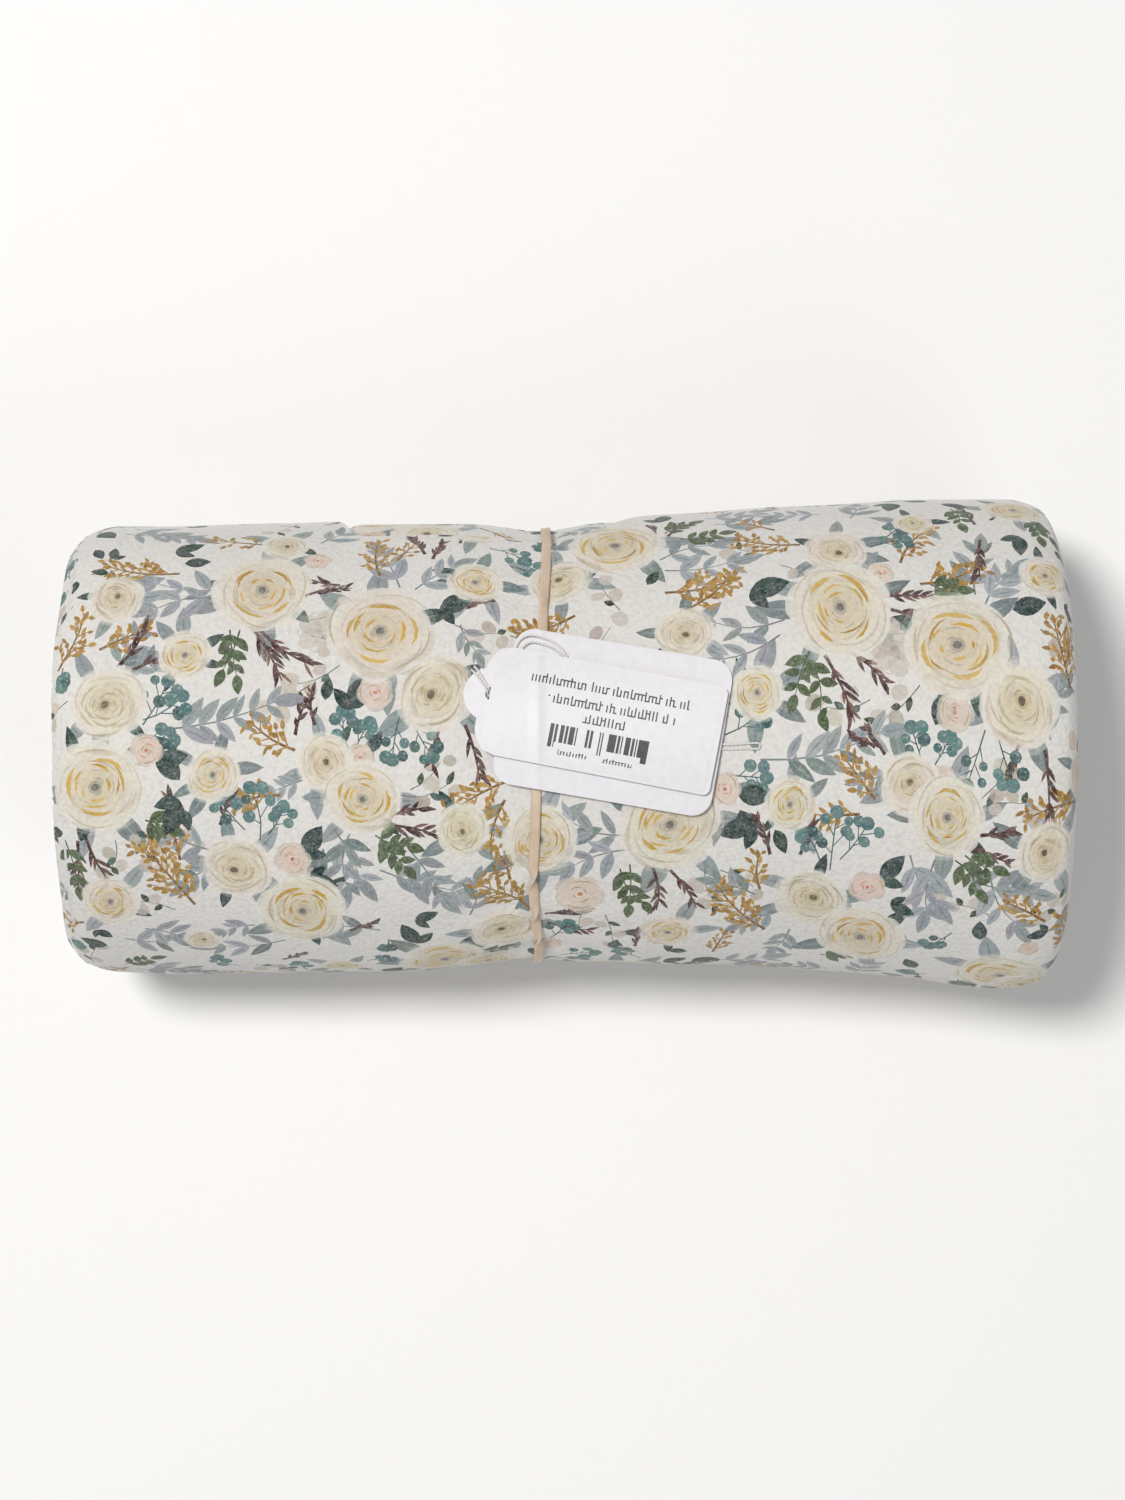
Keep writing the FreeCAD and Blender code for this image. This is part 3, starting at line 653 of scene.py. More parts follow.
def peach_bud(x, y, r):
    turn = art.uniform(0, 3.1)
    r *= 1.15
    petals_round(x, y, r, turn, 5, 0.6, 0.5, "beige")
    blob(x, y, r * 0.9, r * 0.82, turn, 12, 0.09, ink("peach", 3), 0.8)
    for ring, name in ((0.78, "stroke"), (0.58, "peach"), (0.42, "orange"), (0.26, "orange")):
        a = art.uniform(0, 6.28)
        for _ in range(2):
            petal_arc(x, y, r * ring, 0.85, turn, a, a + art.uniform(1.2, 2.0), r * 0.09, ink(name), 0.7)
            a += 3.0
    blob(x, y, r * 0.12, r * 0.10, turn, 7, 0.1, ink("orange"))


def gold_sprig(x, y, length, deg):
    ang = math.radians(deg)
    at = twig(x, y, ang, length, 0.85, 0.4, ink("sprig2"), bow=art.uniform(-0.08, 0.08))
    n = max(4, int(length / 2.4))
    for i in range(n):
        v = 0.16 + 0.84 * i / (n - 1)
        px, py = at(v)
        for side in (-1, 1):
            if art.random() < (0.06 if FINE[0] else 0.3):
                continue
            a2 = ang + side * math.radians(art.uniform(30, 52))
            l2 = (0.46 - 0.26 * v) * length * art.uniform(0.55, 1.0)
            at2 = twig(px, py, a2, l2, 0.55, 0.3, ink("sprig"), bow=art.uniform(-0.1, 0.1), n=2)
            m = max(1, int(l2 / 1.25))
            for j in range(m if FINE[0] else 1):
                qx, qy = at2((j + 1) / m)
                a3 = a2 + math.radians(art.uniform(-55, 55))
                leaf(qx, qy, a3, art.uniform(1.8, 3.0), art.uniform(0.95, 1.5), ink("sprig", 20), pointed=0.9)
    px, py = at(1.0)
    leaf(px, py, ang, 2.8, 1.5, ink("sprig", 12))


def dark_twigs(x, y, length, deg):
    ang = math.radians(deg)
    at = twig(x, y, ang, length * 1.1, 1.05, 0.35, ink("twig"), bow=art.uniform(-0.08, 0.08))
    for v in (0.22, 0.38, 0.54, 0.70, 0.84):
        px, py = at(v)
        side = 1 if art.random() < 0.5 else -1
        leaf(px, py, ang + side * math.radians(art.uniform(18, 34)), length * art.uniform(0.28, 0.44), 1.15, ink("twig", 14))
        if art.random() < 0.6:
            leaf(px, py, ang - side * math.radians(art.uniform(14, 30)), length * art.uniform(0.2, 0.34), 0.9, ink("twig2", 10))


def dark_leaf(x, y, length, deg):
    ang = math.radians(deg)
    length *= 1.25
    leaf(x, y, ang, length, length * art.uniform(0.50, 0.62), ink("teal", 9), vein=INK["teal2"])
    if art.random() < 0.6:
        leaf(x, y, ang + math.radians(art.choice((-62, 62))), length * 0.7, length * 0.36, ink("teal", 12), vein=INK["teal2"])


def berries(x, y, length, deg):
    ang = math.radians(deg)
    at = twig(x, y, ang, length * 0.9, 0.42, 0.28, ink("berry2"), bow=art.uniform(-0.1, 0.1), n=3)
    px, py = at(1.0)
    blob(px, py, 2.0, 1.85, 0, 10, 0.06, ink("berry", 8))
    for v, side in ((0.3, 1), (0.42, -1), (0.6, 1), (0.72, -1)):
        qx, qy = at(v)
        a2 = ang + side * math.radians(art.uniform(30, 55))
        at2 = twig(qx, qy, a2, length * art.uniform(0.22, 0.36), 0.32, 0.24, ink("berry2"), n=2)
        rx, ry = at2(1.0)
        k = art.uniform(1.25, 1.95)
        blob(rx, ry, k, k * 0.94, art.random(), 9, 0.06, ink("berry" if art.random() < 0.65 else "berry2", 8))
        if FINE[0]:
            blob(rx + 0.3 * k, ry - 0.3 * k, 0.28 * k, 0.25 * k, 0, 5, 0.05, (146, 172, 170), 0.6)


def grey_spray(x, y, length, deg):
    ang = math.radians(deg)
    pale = art.random() < 0.35
    at = twig(x, y, ang, length * 0.92, 0.55, 0.25, ink("deepgrey"), bow=art.uniform(-0.12, 0.12))
    n = max(3, int(length / 5.8))
    for i in range(n):
        v = 0.22 + 0.72 * i / max(1, n - 1)
        px, py = at(min(v, 1.0))
        for side in (-1, 1):
            ll = art.uniform(7.8, 10.6) * (1.05 - 0.35 * v) * min(1.0, length / 15)
            name = "lilac" if (pale or art.random() < 0.3) else ("leafgrey" if art.random() < 0.7 else "deepgrey")
            leaf(
                px, py, ang + side * math.radians(art.uniform(32, 54)), ll, ll * art.uniform(0.31, 0.40),
                ink(name, 9), vein=INK["deepgrey"] if name != "deepgrey" else INK["leafgrey"],
            )
    px, py = at(1.0)
    leaf(px, py, ang, min(9.5, length * 0.55), min(3.8, length * 0.24), ink("leafgrey", 8), vein=INK["deepgrey"])


def ivy(x, y, length, deg):
    ang = math.radians(deg)
    at = twig(x, y, ang, length, 0.5, 0.22, ink("ivy2"), bow=art.uniform(-0.15, 0.15))
    for v in (0.2, 0.5, 0.78):
        px, py = at(v)
        for side in (-1, 1):
            ll = art.uniform(4.4, 6.2) * (1.1 - 0.4 * v)
            leaf(px, py, ang + side * math.radians(art.uniform(40, 62)), ll, ll * 0.50, ink("ivy", 12), vein=INK["ivy2"])
    px, py = at(1.0)
    leaf(px, py, ang, 5.6, 3.0, ink("ivy", 8), vein=INK["ivy2"])


def pale_spray(x, y, length, deg):
    ang = math.radians(deg)
    at = twig(x, y, ang, length, 0.34, 0.2, ink("stem"), bow=art.uniform(-0.15, 0.15))
    n = max(3, int(length / 3.3))
    for i in range(n):
        v = 0.25 + 0.75 * i / (n - 1)
        px, py = at(v)
        side = 1 if i % 2 else -1
        a2 = ang + side * math.radians(art.uniform(25, 60))
        d = art.uniform(2.4, 3.8)
        blob(px + d * math.cos(a2), py - d * math.sin(a2), d * 0.78, d * 0.62, a2, 9, 0.06, ink("beige" if art.random() < 0.75 else "beige2", 6), 0.85)
        if art.random() < 0.45:
            leaf(px, py, ang - side * math.radians(art.uniform(30, 55)), art.uniform(2.8, 4.4), 1.9, ink("ivy2" if art.random() < 0.5 else "teal2", 8))


def pale_flower(x, y, r):
    for i in range(5):
        a = i * 1.257 + art.uniform(-0.15, 0.15)
        blob(x + 0.5 * r * math.cos(a), y + 0.5 * r * math.sin(a), r * 0.52, r * 0.40, a, 11, 0.08, ink("beige", 5), 0.6)
    for i in range(5):
        a = i * 1.257 + 0.6
        petal_arc(x + 0.5 * r * math.cos(a), y + 0.5 * r * math.sin(a), r * 0.4, 0.8, a, -1.0, 1.0, 0.35, ink("beige2"), 0.7)
    blob(x, y, r * 0.14, r * 0.12, 0, 7, 0.1, ink("beige2"))


def leaves_under(x, y, r):
    """Grey and dark leaves that show from under a flower."""
    n = art.randint(4, 6)
    first = art.uniform(0, 6.28)
    for i in range(n):
        a = first + i * 6.28 / n + art.uniform(-0.4, 0.4)
        pick = art.random()
        name = "leafgrey" if pick < 0.45 else "deepgrey" if pick < 0.7 else "lilac" if pick < 0.8 else "teal"
        ll = (r * 0.62 + art.uniform(3.5, 7.0)) * (0.75 if name == "teal" else 1.0)
        vein = INK["teal2"] if name == "teal" else INK["deepgrey"] if name != "deepgrey" else INK["leafgrey"]
        leaf(
            x + 0.6 * r * math.cos(a), y - 0.6 * r * math.sin(a), a + art.uniform(-0.3, 0.3), ll,
            ll * art.uniform(0.34, 0.46), ink(name, 9), vein=vein,
        )


DRAW = {
    "R": leaves_under,
    "P": plain_rose, "G": ringed_rose, "B": peach_bud, "F": pale_flower, "Y": gold_sprig, "T": dark_twigs,
    "D": dark_leaf, "E": berries, "S": grey_spray, "O": ivy, "W": pale_spray,
}
ORDER = ["R", "W", "S", "Y", "T", "O", "E", "D", "F", "B", "P", "G"]


def edge_s(x):
    """Where the free edge lies at x, as a distance round the roll."""
    return R0 * (START - math.radians(float(EDGE_AT(float(np.clip(x, -142, 141))))))


def reach_of(kind, x, s, rest):
    """The middle and radius of the ground a motif covers."""
    if kind in "PGBF":
        return x, s, rest[0]
    a = math.radians(rest[1])
    half = rest[0] / 2
    return x + half * math.cos(a), s - half * math.sin(a), half * 0.85


def draw_print():
    """Every motif over the whole wrap. The design repeats every 158 mm round the roll."""
    placed = []
    for kind, x, s, *rest in LAYOUT:
        placed.append((kind, x, s, rest))
        if 4.0 <= s < 180.0:
            for again in (158.0, 316.0):
                if s + again > 170.0:
                    placed.append((kind, x + (3.0 if again < 200 else -4.0), s + again, rest))
    # small sprays and leaves in the gaps that are left
    fill = random.Random(21)
    covered = [reach_of(*p) for p in placed]
    cx, cs, cr = (np.array(v) for v in zip(*covered))
    for i in range(8600):
        x, s, deg = fill.uniform(-143.5, 143.0), fill.uniform(-6.0, R0 * 7.05), fill.uniform(-180, 180)
        if 5200 < i < 6800:
            x = math.copysign(fill.uniform(127.0, 143.0), x)
        kind = fill.choice("SSSWWWDDETTYO" if i < 5200 else "SWDDEEWB")
        size = {"S": 13.0, "W": 12.0, "D": 6.5, "E": 9.0, "T": 9.0, "Y": 12.0, "O": 9.0, "B": 4.0}[kind] * fill.uniform(0.85, 1.25)
        size *= 1.0 if i < 5200 else 0.72
        rest = [size] if kind == "B" else [size, deg]
        mx, ms, mr = reach_of(kind, x, s, rest)
        room = 0.3 if 5200 < i < 6800 else 2.0 if 20 < s < 165 else 1.0
        if s > edge_s(x) + R0 * 2 * math.pi + 10.0:
            continue
        if abs(mx) < 142.5 and (np.hypot(cx - mx, cs - ms) > cr + mr + room).all():
            placed.append((kind, x, s, rest))
            cx, cs, cr = np.append(cx, mx), np.append(cs, ms), np.append(cr, mr)
    placed += [("R", x, s, rest) for kind, x, s, rest in placed if kind in "PG" and rest[0] > 5.5]
    for kind in ORDER:
        for k, x, s, rest in placed:
            if k == kind and s < edge_s(x) + R0 * 2 * math.pi + 16.0:
                u = float(np.interp(x, _xs, _us)) + (min(0.0, x - FOLD_X) if x < FOLD_X else 0.0)
                FINE[0] = s < 200.0
                DRAW[kind](u, s, *rest)


draw_print()

S_END = R0 * (2 * math.pi + 0.72)
# across the places where the free edge slants, the wrap is cut more finely
SLANTS = ((-74.0, -48.0), (-16.0, 34.0))
EDGE_US = np.unique(np.concatenate(
    [np.linspace(U_LOW, U_HIGH, 64)]
    + [np.linspace(float(np.interp(a, _xs, _us)), float(np.interp(b, _xs, _us)), int((b - a) / 1.4)) for a, b in SLANTS]
))


def clip_half(poly, axis, value, keep_above):
    """Cuts a polygon by a line parallel to an axis."""
    out = []
    n = len(poly)
    for i in range(n):
        p, q = poly[i], poly[(i + 1) % n]
        fp = (p[axis] - value) * (1 if keep_above else -1)
        fq = (q[axis] - value) * (1 if keep_above else -1)
        if fp >= 0:
            out.append(p)
        if (fp > 0) != (fq > 0) and fp != fq:
            t = fp / (fp - fq)
            out.append(p + t * (q - p))
    return np.array(out) if len(out) >= 3 else None


def clip_box(q, u0, u1, s0, s1):
    for axis, value, above in ((0, u0, True), (0, u1, False), (1, s0, True), (1, s1, False)):
        if q is None:
            return None
        side = q[:, axis] < value if above else q[:, axis] > value
        if side.all():
            return None
        if side.any():
            q = clip_half(q, axis, value, above)
    return q


def within(points, poly):
    """Which points lie inside a polygon, by counting crossings."""
    x, y = points[:, :1], points[:, 1:]
    xi, yi = poly[:, 0], poly[:, 1]
    xj, yj = np.roll(xi, -1), np.roll(yi, -1)
    cross = (yi > y) != (yj > y)
    rise = np.where(np.abs(yj - yi) < 1e-12, 1e-12, yj - yi)
    return (cross & (x < (xj - xi) * (y - yi) / rise + xi)).sum(1) % 2 == 1


def triangulate():
    """The wrap's flat pattern cut into triangles along every printed shape, with each triangle's colour.
    It is cut patch by patch, and the patches share the points along their borders."""
    us = EDGE_US
    low_edge = [
        (u, R0 * (START - math.radians(float(EDGE_AT(np.clip(np.interp(u, _us, _xs), -142, 141)))))) for u in us
    ]
    rim = np.array(low_edge + [(U_HIGH, S_END), (U_LOW, S_END)])
    low = np.array([p.min(0) for p, _, _ in SHAPES])
    high = np.array([p.max(0) for p, _, _ in SHAPES])
    grid = random.Random(3)
    nu, ns = 14, 20
    ue, se = np.linspace(U_LOW, U_HIGH, nu + 1), np.linspace(0.0, S_END, ns + 1)
    verts, tris, colours, index, seen = [], [], [], {}, set()
    for a in range(nu):
        for b in range(ns):
            u0, u1, s0, s1 = ue[a], ue[a + 1], se[b], se[b + 1]
            ground = clip_box(rim, u0, u1, s0, s1)
            if ground is None or len(ground) < 3:
                continue
            coords, lines, drawn = [], [], []

            def outline(q):
                first = len(coords)
                coords.extend(map(tuple, q))
                n = len(q)
                for i in range(n):
                    p, r = q[i], q[(i + 1) % n]
                    if abs(p[0] - r[0]) + abs(p[1] - r[1]) > 1e-6:
                        lines.append((first + i, first + (i + 1) % n))

            outline(ground)
            near = np.nonzero((high[:, 0] > u0) & (low[:, 0] < u1) & (high[:, 1] > s0) & (low[:, 1] < s1))[0]
            for k in near:
                q = clip_box(SHAPES[k][0], u0, u1, s0, s1)
                if q is not None and len(q) >= 3:
                    outline(q)
                    drawn.append(int(k))
            for u in np.linspace(u0, u1, 7):
                coords.append((u, s0))
                coords.append((u, s1))
            for s in np.linspace(s0, s1, 8)[1:-1]:
                coords.append((u0, s))
                coords.append((u1, s))
            ends = u0 < U_FOLD + 1.0 or u1 > U_HIGH - 12.0
            x0, x1 = float(np.interp(u0, _us, _xs)), float(np.interp(u1, _us, _xs))
            slanted = any(x1 > a and x0 < b for a, b in SLANTS) and (s0 < 75 or s1 > R0 * 6.0)
            mu, ms = (14, 9) if ends else (12, 11) if slanted else (7, 7)
            for u in np.linspace(u0, u1, mu)[1:-1]:
                for s in np.linspace(s0, s1, ms)[1:-1]:
                    coords.append((u + grid.uniform(-0.4, 0.4), s + grid.uniform(-0.4, 0.4)))
            if u0 <= U_FOLD + 0.1:
                for s in np.linspace(s0, s1, 9):
                    for du in (-1.55, -1.15, -0.72, -0.3, 0.5):
                        coords.append((U_FOLD + du, s))
            got = geometry.delaunay_2d_cdt([Vector(c) for c in coords], lines, [], 0, 0.015, False)
            flat = np.array([(v[0], v[1]) for v in got[0]])
            here = []
            for v in flat:
                key = (round(v[0] * 40), round(v[1] * 40))
                if key not in index:
                    index[key] = len(verts)
                    verts.append((v[0], v[1]))
                here.append(index[key])
            cells = np.array([t for f in got[2] for t in [(f[0], f[i], f[i + 1]) for i in range(1, len(f) - 1)]])
            mid = flat[cells].mean(1)
            keep = within(mid, rim)
            colour = np.tile(WHITE, (len(cells), 1))
            for k in drawn:
                box = (mid > low[k]).all(1) & (mid < high[k]).all(1)
                at = np.nonzero(box)[0]
                if len(at):
                    at = at[within(mid[at], SHAPES[k][0])]
                    colour[at] += (SHAPES[k][1] - colour[at]) * SHAPES[k][2]
            for t, c in zip(cells[keep], colour[keep]):
                f = (here[t[0]], here[t[1]], here[t[2]])
                same = tuple(sorted(f))
                if len(set(f)) == 3 and same not in seen:
                    seen.add(same)
                    tris.append(f)
                    colours.append(c)
    return np.array(verts), tris, np.array(colours)


flat_verts, flat_tris, flat_colours = triangulate()
print("print: shapes", len(SHAPES), "points", len(flat_verts), "triangles", len(flat_tris))

# the outer wrap: its printed face, its white back, and the edge between them
tri = np.array(flat_tris)
face_mm = outer(flat_verts[:, 0], flat_verts[:, 1])
e1 = face_mm[tri[:, 1]] - face_mm[tri[:, 0]]
e2 = face_mm[tri[:, 2]] - face_mm[tri[:, 0]]
area = 0.5 * np.linalg.norm(np.cross(e1, e2), axis=1)
ok = area > 1e-7
tri, flat_colours = tri[ok], flat_colours[ok]
edges = np.sort(np.concatenate([tri[:, [0, 1]], tri[:, [1, 2]], tri[:, [2, 0]]]), axis=1)
back_us = EDGE_US
back_u, back_s = [], []
for u in back_us:
    low_s = R0 * (START - math.radians(float(EDGE_AT(np.clip(np.interp(u, _us, _xs), -142, 141)))))
    back_s.append(np.linspace(low_s, S_END, 130))
    back_u.append(np.full(130, u))
back_u, back_s = np.array(back_u), np.array(back_s)
back_mm = outer(back_u, back_s, GAUGE)
front_rim = outer(back_u, back_s)
nb = len(face_mm)
all_mm = [face_mm, back_mm.reshape(-1, 3)]
quads = []
nu_, ns_ = back_u.shape


def back_id(i, j):
    return nb + i * ns_ + j


for i in range(nu_ - 1):
    for j in range(ns_ - 1):
        quads.append((back_id(i, j), back_id(i, j + 1), back_id(i + 1, j + 1), back_id(i + 1, j)))
rim_ids = (
    [(i, 0) for i in range(nu_)]
    + [(nu_ - 1, j) for j in range(1, ns_)]
    + [(i, ns_ - 1) for i in range(nu_ - 2, -1, -1)]
    + [(0, j) for j in range(ns_ - 2, 0, -1)]
)
rim_top = np.array([front_rim[i, j] for i, j in rim_ids])
rim_mid = np.array([0.5 * (front_rim[i, j] + back_mm[i, j]) for i, j in rim_ids])
base_top = nb + nu_ * ns_
base_mid = base_top + len(rim_ids)
all_mm += [rim_top, rim_mid]
out_dir = rim_mid - back_mm[nu_ // 2, ns_ // 2]
for k in range(len(rim_ids)):
    q = (k + 1) % len(rim_ids)
    quads.append((base_top + k, base_top + q, base_mid + q, base_mid + k))
    quads.append((base_mid + k, base_mid + q, back_id(*rim_ids[q]), back_id(*rim_ids[k])))
wrap_verts = np.concatenate(all_mm) * MM
# the side that faces outward comes first round
centre = face_mm[tri].mean(1)
normal = np.cross(face_mm[tri[:, 1]] - face_mm[tri[:, 0]], face_mm[tri[:, 2]] - face_mm[tri[:, 0]])
outward = (normal[:, 1] * centre[:, 1] + normal[:, 2] * (centre[:, 2] - 53)) > 0
body_part = np.abs(centre[:, 0]) < 120
if outward[body_part].mean() < 0.5:
    tri = tri[:, [0, 2, 1]]
wrap = new_mesh("cloth_outer_wrap", wrap_verts, [tuple(t) for t in tri.tolist()] + quads)
attr = wrap.data.color_attributes.new("print", "FLOAT_COLOR", "CORNER")
loops = np.ones((len(wrap.data.loops), 4), np.float32)
lin = linear(flat_colours)
loops[:, :3] = linear(WHITE)
kept = len(tri)
if len(wrap.data.polygons) != kept + len(quads):
    print("note: validate dropped faces", len(wrap.data.polygons), kept + len(quads))
loops[: kept * 3, :3] = np.repeat(lin, 3, axis=0)[: kept * 3]
attr.data.foreach_set("color", loops.ravel())
slots = np.ones(len(wrap.data.polygons), np.int32)
slots[:kept] = 0
wrap.data.polygons.foreach_set("material_index", slots)

# the cloth inside: one sheet, folded in five across its width and wound up
rng = random.Random(9)
X_COLS = (-126.0, -66.0, -54.0, -26.0, -12.0, -6.6, -1.0, 13.0, 30.0, 70.0, 126.0)


def wander(seed, amplitude, lengths=(61.0, 23.0, 11.0)):
    r = random.Random(seed)
    terms = [(amplitude * r.uniform(0.4, 1.0) * (0.9**i), ln * r.uniform(0.8, 1.25), r.uniform(0, 6.28)) for i, ln in enumerate(lengths)]

    def f(s):
        return sum(a * np.sin(2 * math.pi * s / ln + p) for a, ln, p in terms)

    return f


def winding():
    psi, s = 0.0, 0.0
    rows = []
    while True:
        d = float(depth(np.array(-140.0), np.array(psi)))
        rho = 1 - d / 59.0
        if rho < 0.045:
            break
        rows.append((psi, s, d))
        step = min(5.4 / (R0 * rho), 0.36)
        psi += step
        s += step * R0 * rho
    return np.array(rows)


WIND = winding()
print("inner sheet: rows", len(WIND), "length wound mm", round(float(WIND[-1, 1])))
left_wander = [wander(40 + k, 0.30) for k in range(5)]
right_wander = [wander(60 + k, 0.30) for k in range(5)]
gap_wander = [wander(80 + k, 0.05, (47.0, 19.0)) for k in range(5)]
turn_shift_l = [rng.uniform(-0.9, 0.7) for _ in range(20)]
turn_shift_r = [rng.uniform(-0.9, 0.7) for _ in range(20)]


def sheet_grid():
    psi, s, d0 = WIND[:, 0], WIND[:, 1], WIND[:, 2]
    turn = psi / (2 * math.pi)
    phi = START - psi
    wrapped = (phi + math.pi) % (2 * math.pi) - math.pi
    shift_l = np.interp(turn, np.arange(20), turn_shift_l)
    shift_r = np.interp(turn, np.arange(20), turn_shift_r)
    bulge = np.exp(-((wrapped - 0.02) / math.radians(30)) ** 4)
    first = np.clip(1.0 - (turn - 0.85) / 0.3, 0, 1)
    ends_l, ends_r = [], []
    for j in range(LAYERS):
        dj = d0 + PITCH * j / LAYERS
        out_l = -(141.6 - 4.2 * np.exp(-dj / 4.5)) + shift_l * (1 - first) + left_wander[j](s)
        # the outermost packet's second fold shows past the wrap's end over the crown
        show = -138.4 - 0.25 * j + 0.4 * left_wander[j](s)
        ends_l.append(first * np.where(j >= 1, show, out_l) + (1 - first) * out_l)
        out_r = 141.9 - 5.0 * np.exp(-dj / 7.0) + shift_r * smoothstep(dj / 9.0) * 0.8 + right_wander[j](s) * smoothstep(dj / 5.0)
        ends_r.append(out_r)
    # a fold has one end for the two layers that it joins
    for j in (0, 2):
        ends_l[j] = ends_l[j + 1] = 0.5 * (ends_l[j] + ends_l[j + 1]) + (0.0 if j else 0.0)
    for j in (1, 3):
        ends_r[j] = ends_r[j + 1] = 0.5 * (ends_r[j] + ends_r[j + 1])
    ends_l[4] = ends_l[4] + 1.3
    ends_r[0] = ends_r[0] - 0.6
    xs, js = [], []
    for j in range(LAYERS):
        to_left = j % 2 == 0  # layer 0 starts at the right-hand edge and runs to the fold on the left
        inner = [x * np.ones_like(s) for x in X_COLS]
        left_in = [ends_l[j] + v for v in (0.45, 2.2, 6.0)]
        right_in = [ends_r[j] - v for v in (6.0, 2.2, 0.45)]
        row = left_in + inner + right_in
        if to_left:
            row = row[::-1]
        for x in row:
            xs.append(x)
            js.append(np.full_like(s, float(j)))
        if j < LAYERS - 1:
            end, sign = (ends_l[j], -1.0) if to_left else (ends_r[j], 1.0)
            for back, f in ((0.13, 0.10), (0.0, 0.32), (0.0, 0.68), (0.13, 0.90)):
                xs.append(end - sign * back)
                js.append(np.full_like(s, j + f))
    return np.array(xs).T, np.array(js).T


gx, gj = sheet_grid()
rows, cols = gx.shape
psi_g = np.repeat(WIND[:, 0][:, None], cols, 1)
near_end = smoothstep((np.abs(gx) - 128) / 10.0)
wave = sum(gap_wander[k](WIND[:, 1])[:, None] * np.clip(1 - np.abs(gj - k), 0, 1) for k in range(5))
x_prof = np.clip(gx, -136.6, 138.4)
d_here = depth(x_prof, psi_g)
d_next = depth(x_prof, psi_g + 2 * math.pi)
dep = d_here + (d_next - d_here) * (gj + wave * near_end * 2.2) / LAYERS + 0.12
# between the ends, where its columns are far apart, the sheet keeps further under the wrap
dep = dep + np.interp(np.abs(gx), [70.0, 126.0, 134.0], [0.95, 0.40, 0.0]) * np.clip(1.2 - dep / 10.0, 0, 1)
# past the wrap's free edge the other layers dip under the turn below
edge_g = R0 * (START - np.radians(EDGE_AT(x_prof)))
under = smoothstep((edge_g + 1.0 - WIND[:, 1][:, None]) / 3.0 + 0.5) * smoothstep((edge_g - 5.0) / 4.0) * (psi_g < 1.2)
dep = dep * (1 - under) + (d_next + 0.85 + 0.12 * gj) * under
pts = place(x_prof, psi_g, dep, ride_on=np.clip(1.0 - dep / 10.0, 0, 1))
pts[..., 0] += gx - x_prof
ids = np.arange(rows * cols).reshape(rows, cols)
q = np.stack([ids[:-1, :-1], ids[1:, :-1], ids[1:, 1:], ids[:-1, 1:]], -1)
# the outer wrap is the outermost turn's first layer, so the sheet's own faces start under it there
first_cols = 3 + len(X_COLS) + 3 + 3
hidden = (WIND[:-1, 0][:, None] < 2 * math.pi + 0.62) & (np.arange(cols - 1)[None, :] < first_cols)
q = q[~hidden]
a3 = pts.reshape(-1, 3)
used, inverse = np.unique(q, return_inverse=True)
q = inverse.reshape(q.shape)
inner_cloth = new_mesh("cloth_folded_inside", a3[used] * MM, [tuple(f) for f in q.tolist()])
m = inner_cloth.data
fn = np.zeros(len(m.polygons) * 3)
m.polygons.foreach_get("normal", fn)
fc = np.zeros(len(m.polygons) * 3)
m.polygons.foreach_get("center", fc)
fn, fc = fn.reshape(-1, 3), fc.reshape(-1, 3)
layer0 = np.repeat((gj[:-1, :-1] < 0.01), 1)[~hidden.ravel()]
look = (fn[:, 1] * fc[:, 1] + fn[:, 2] * (fc[:, 2] - 0.053))[layer0]
if (look > 0).mean() < 0.5:
    m.flip_normals()
solid = inner_cloth.modifiers.new("gauge", "SOLIDIFY")
solid.thickness = 0.50 * MM
solid.offset = -1.0
solid.use_rim = True
solid.material_offset = 1
solid.material_offset_rim = 1

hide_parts("rolled_cloth")
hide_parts("rolled_cloth")
for ob in (wrap, inner_cloth):
    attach(ob, "roll")

# ---------------------------------------------------------------- the rubber band
def band_path():
    """Round the waist, on the cloth, with the sideways wander of a band put on by hand."""
    ts = np.linspace(0, 2 * math.pi, 361)[:-1]
    side = smooth_through(
        np.array([-70.0, -62, -57, -50, -44, -36, -28, -20, -8, 10, 28, 36, 44, 52, 57, 62, 70]),
        np.array([-7.6, -6.9, -6.6, -7.4, -7.9, -8.1, -7.7, -7.4, -7.1, -6.3, -5.6, -5.3, -4.9, -4.6, -4.5, -4.9, -5.2]),
    )
    out = []
    for t in ts:
        top = math.cos(t) > -0.25
        y0 = 62.6 * math.sin(t)
        x = float(side(y0)) if top else -6.3 + 0.012 * y0 + 0.4 * math.sin(3 * t)
        out.append((x, t))
    return out


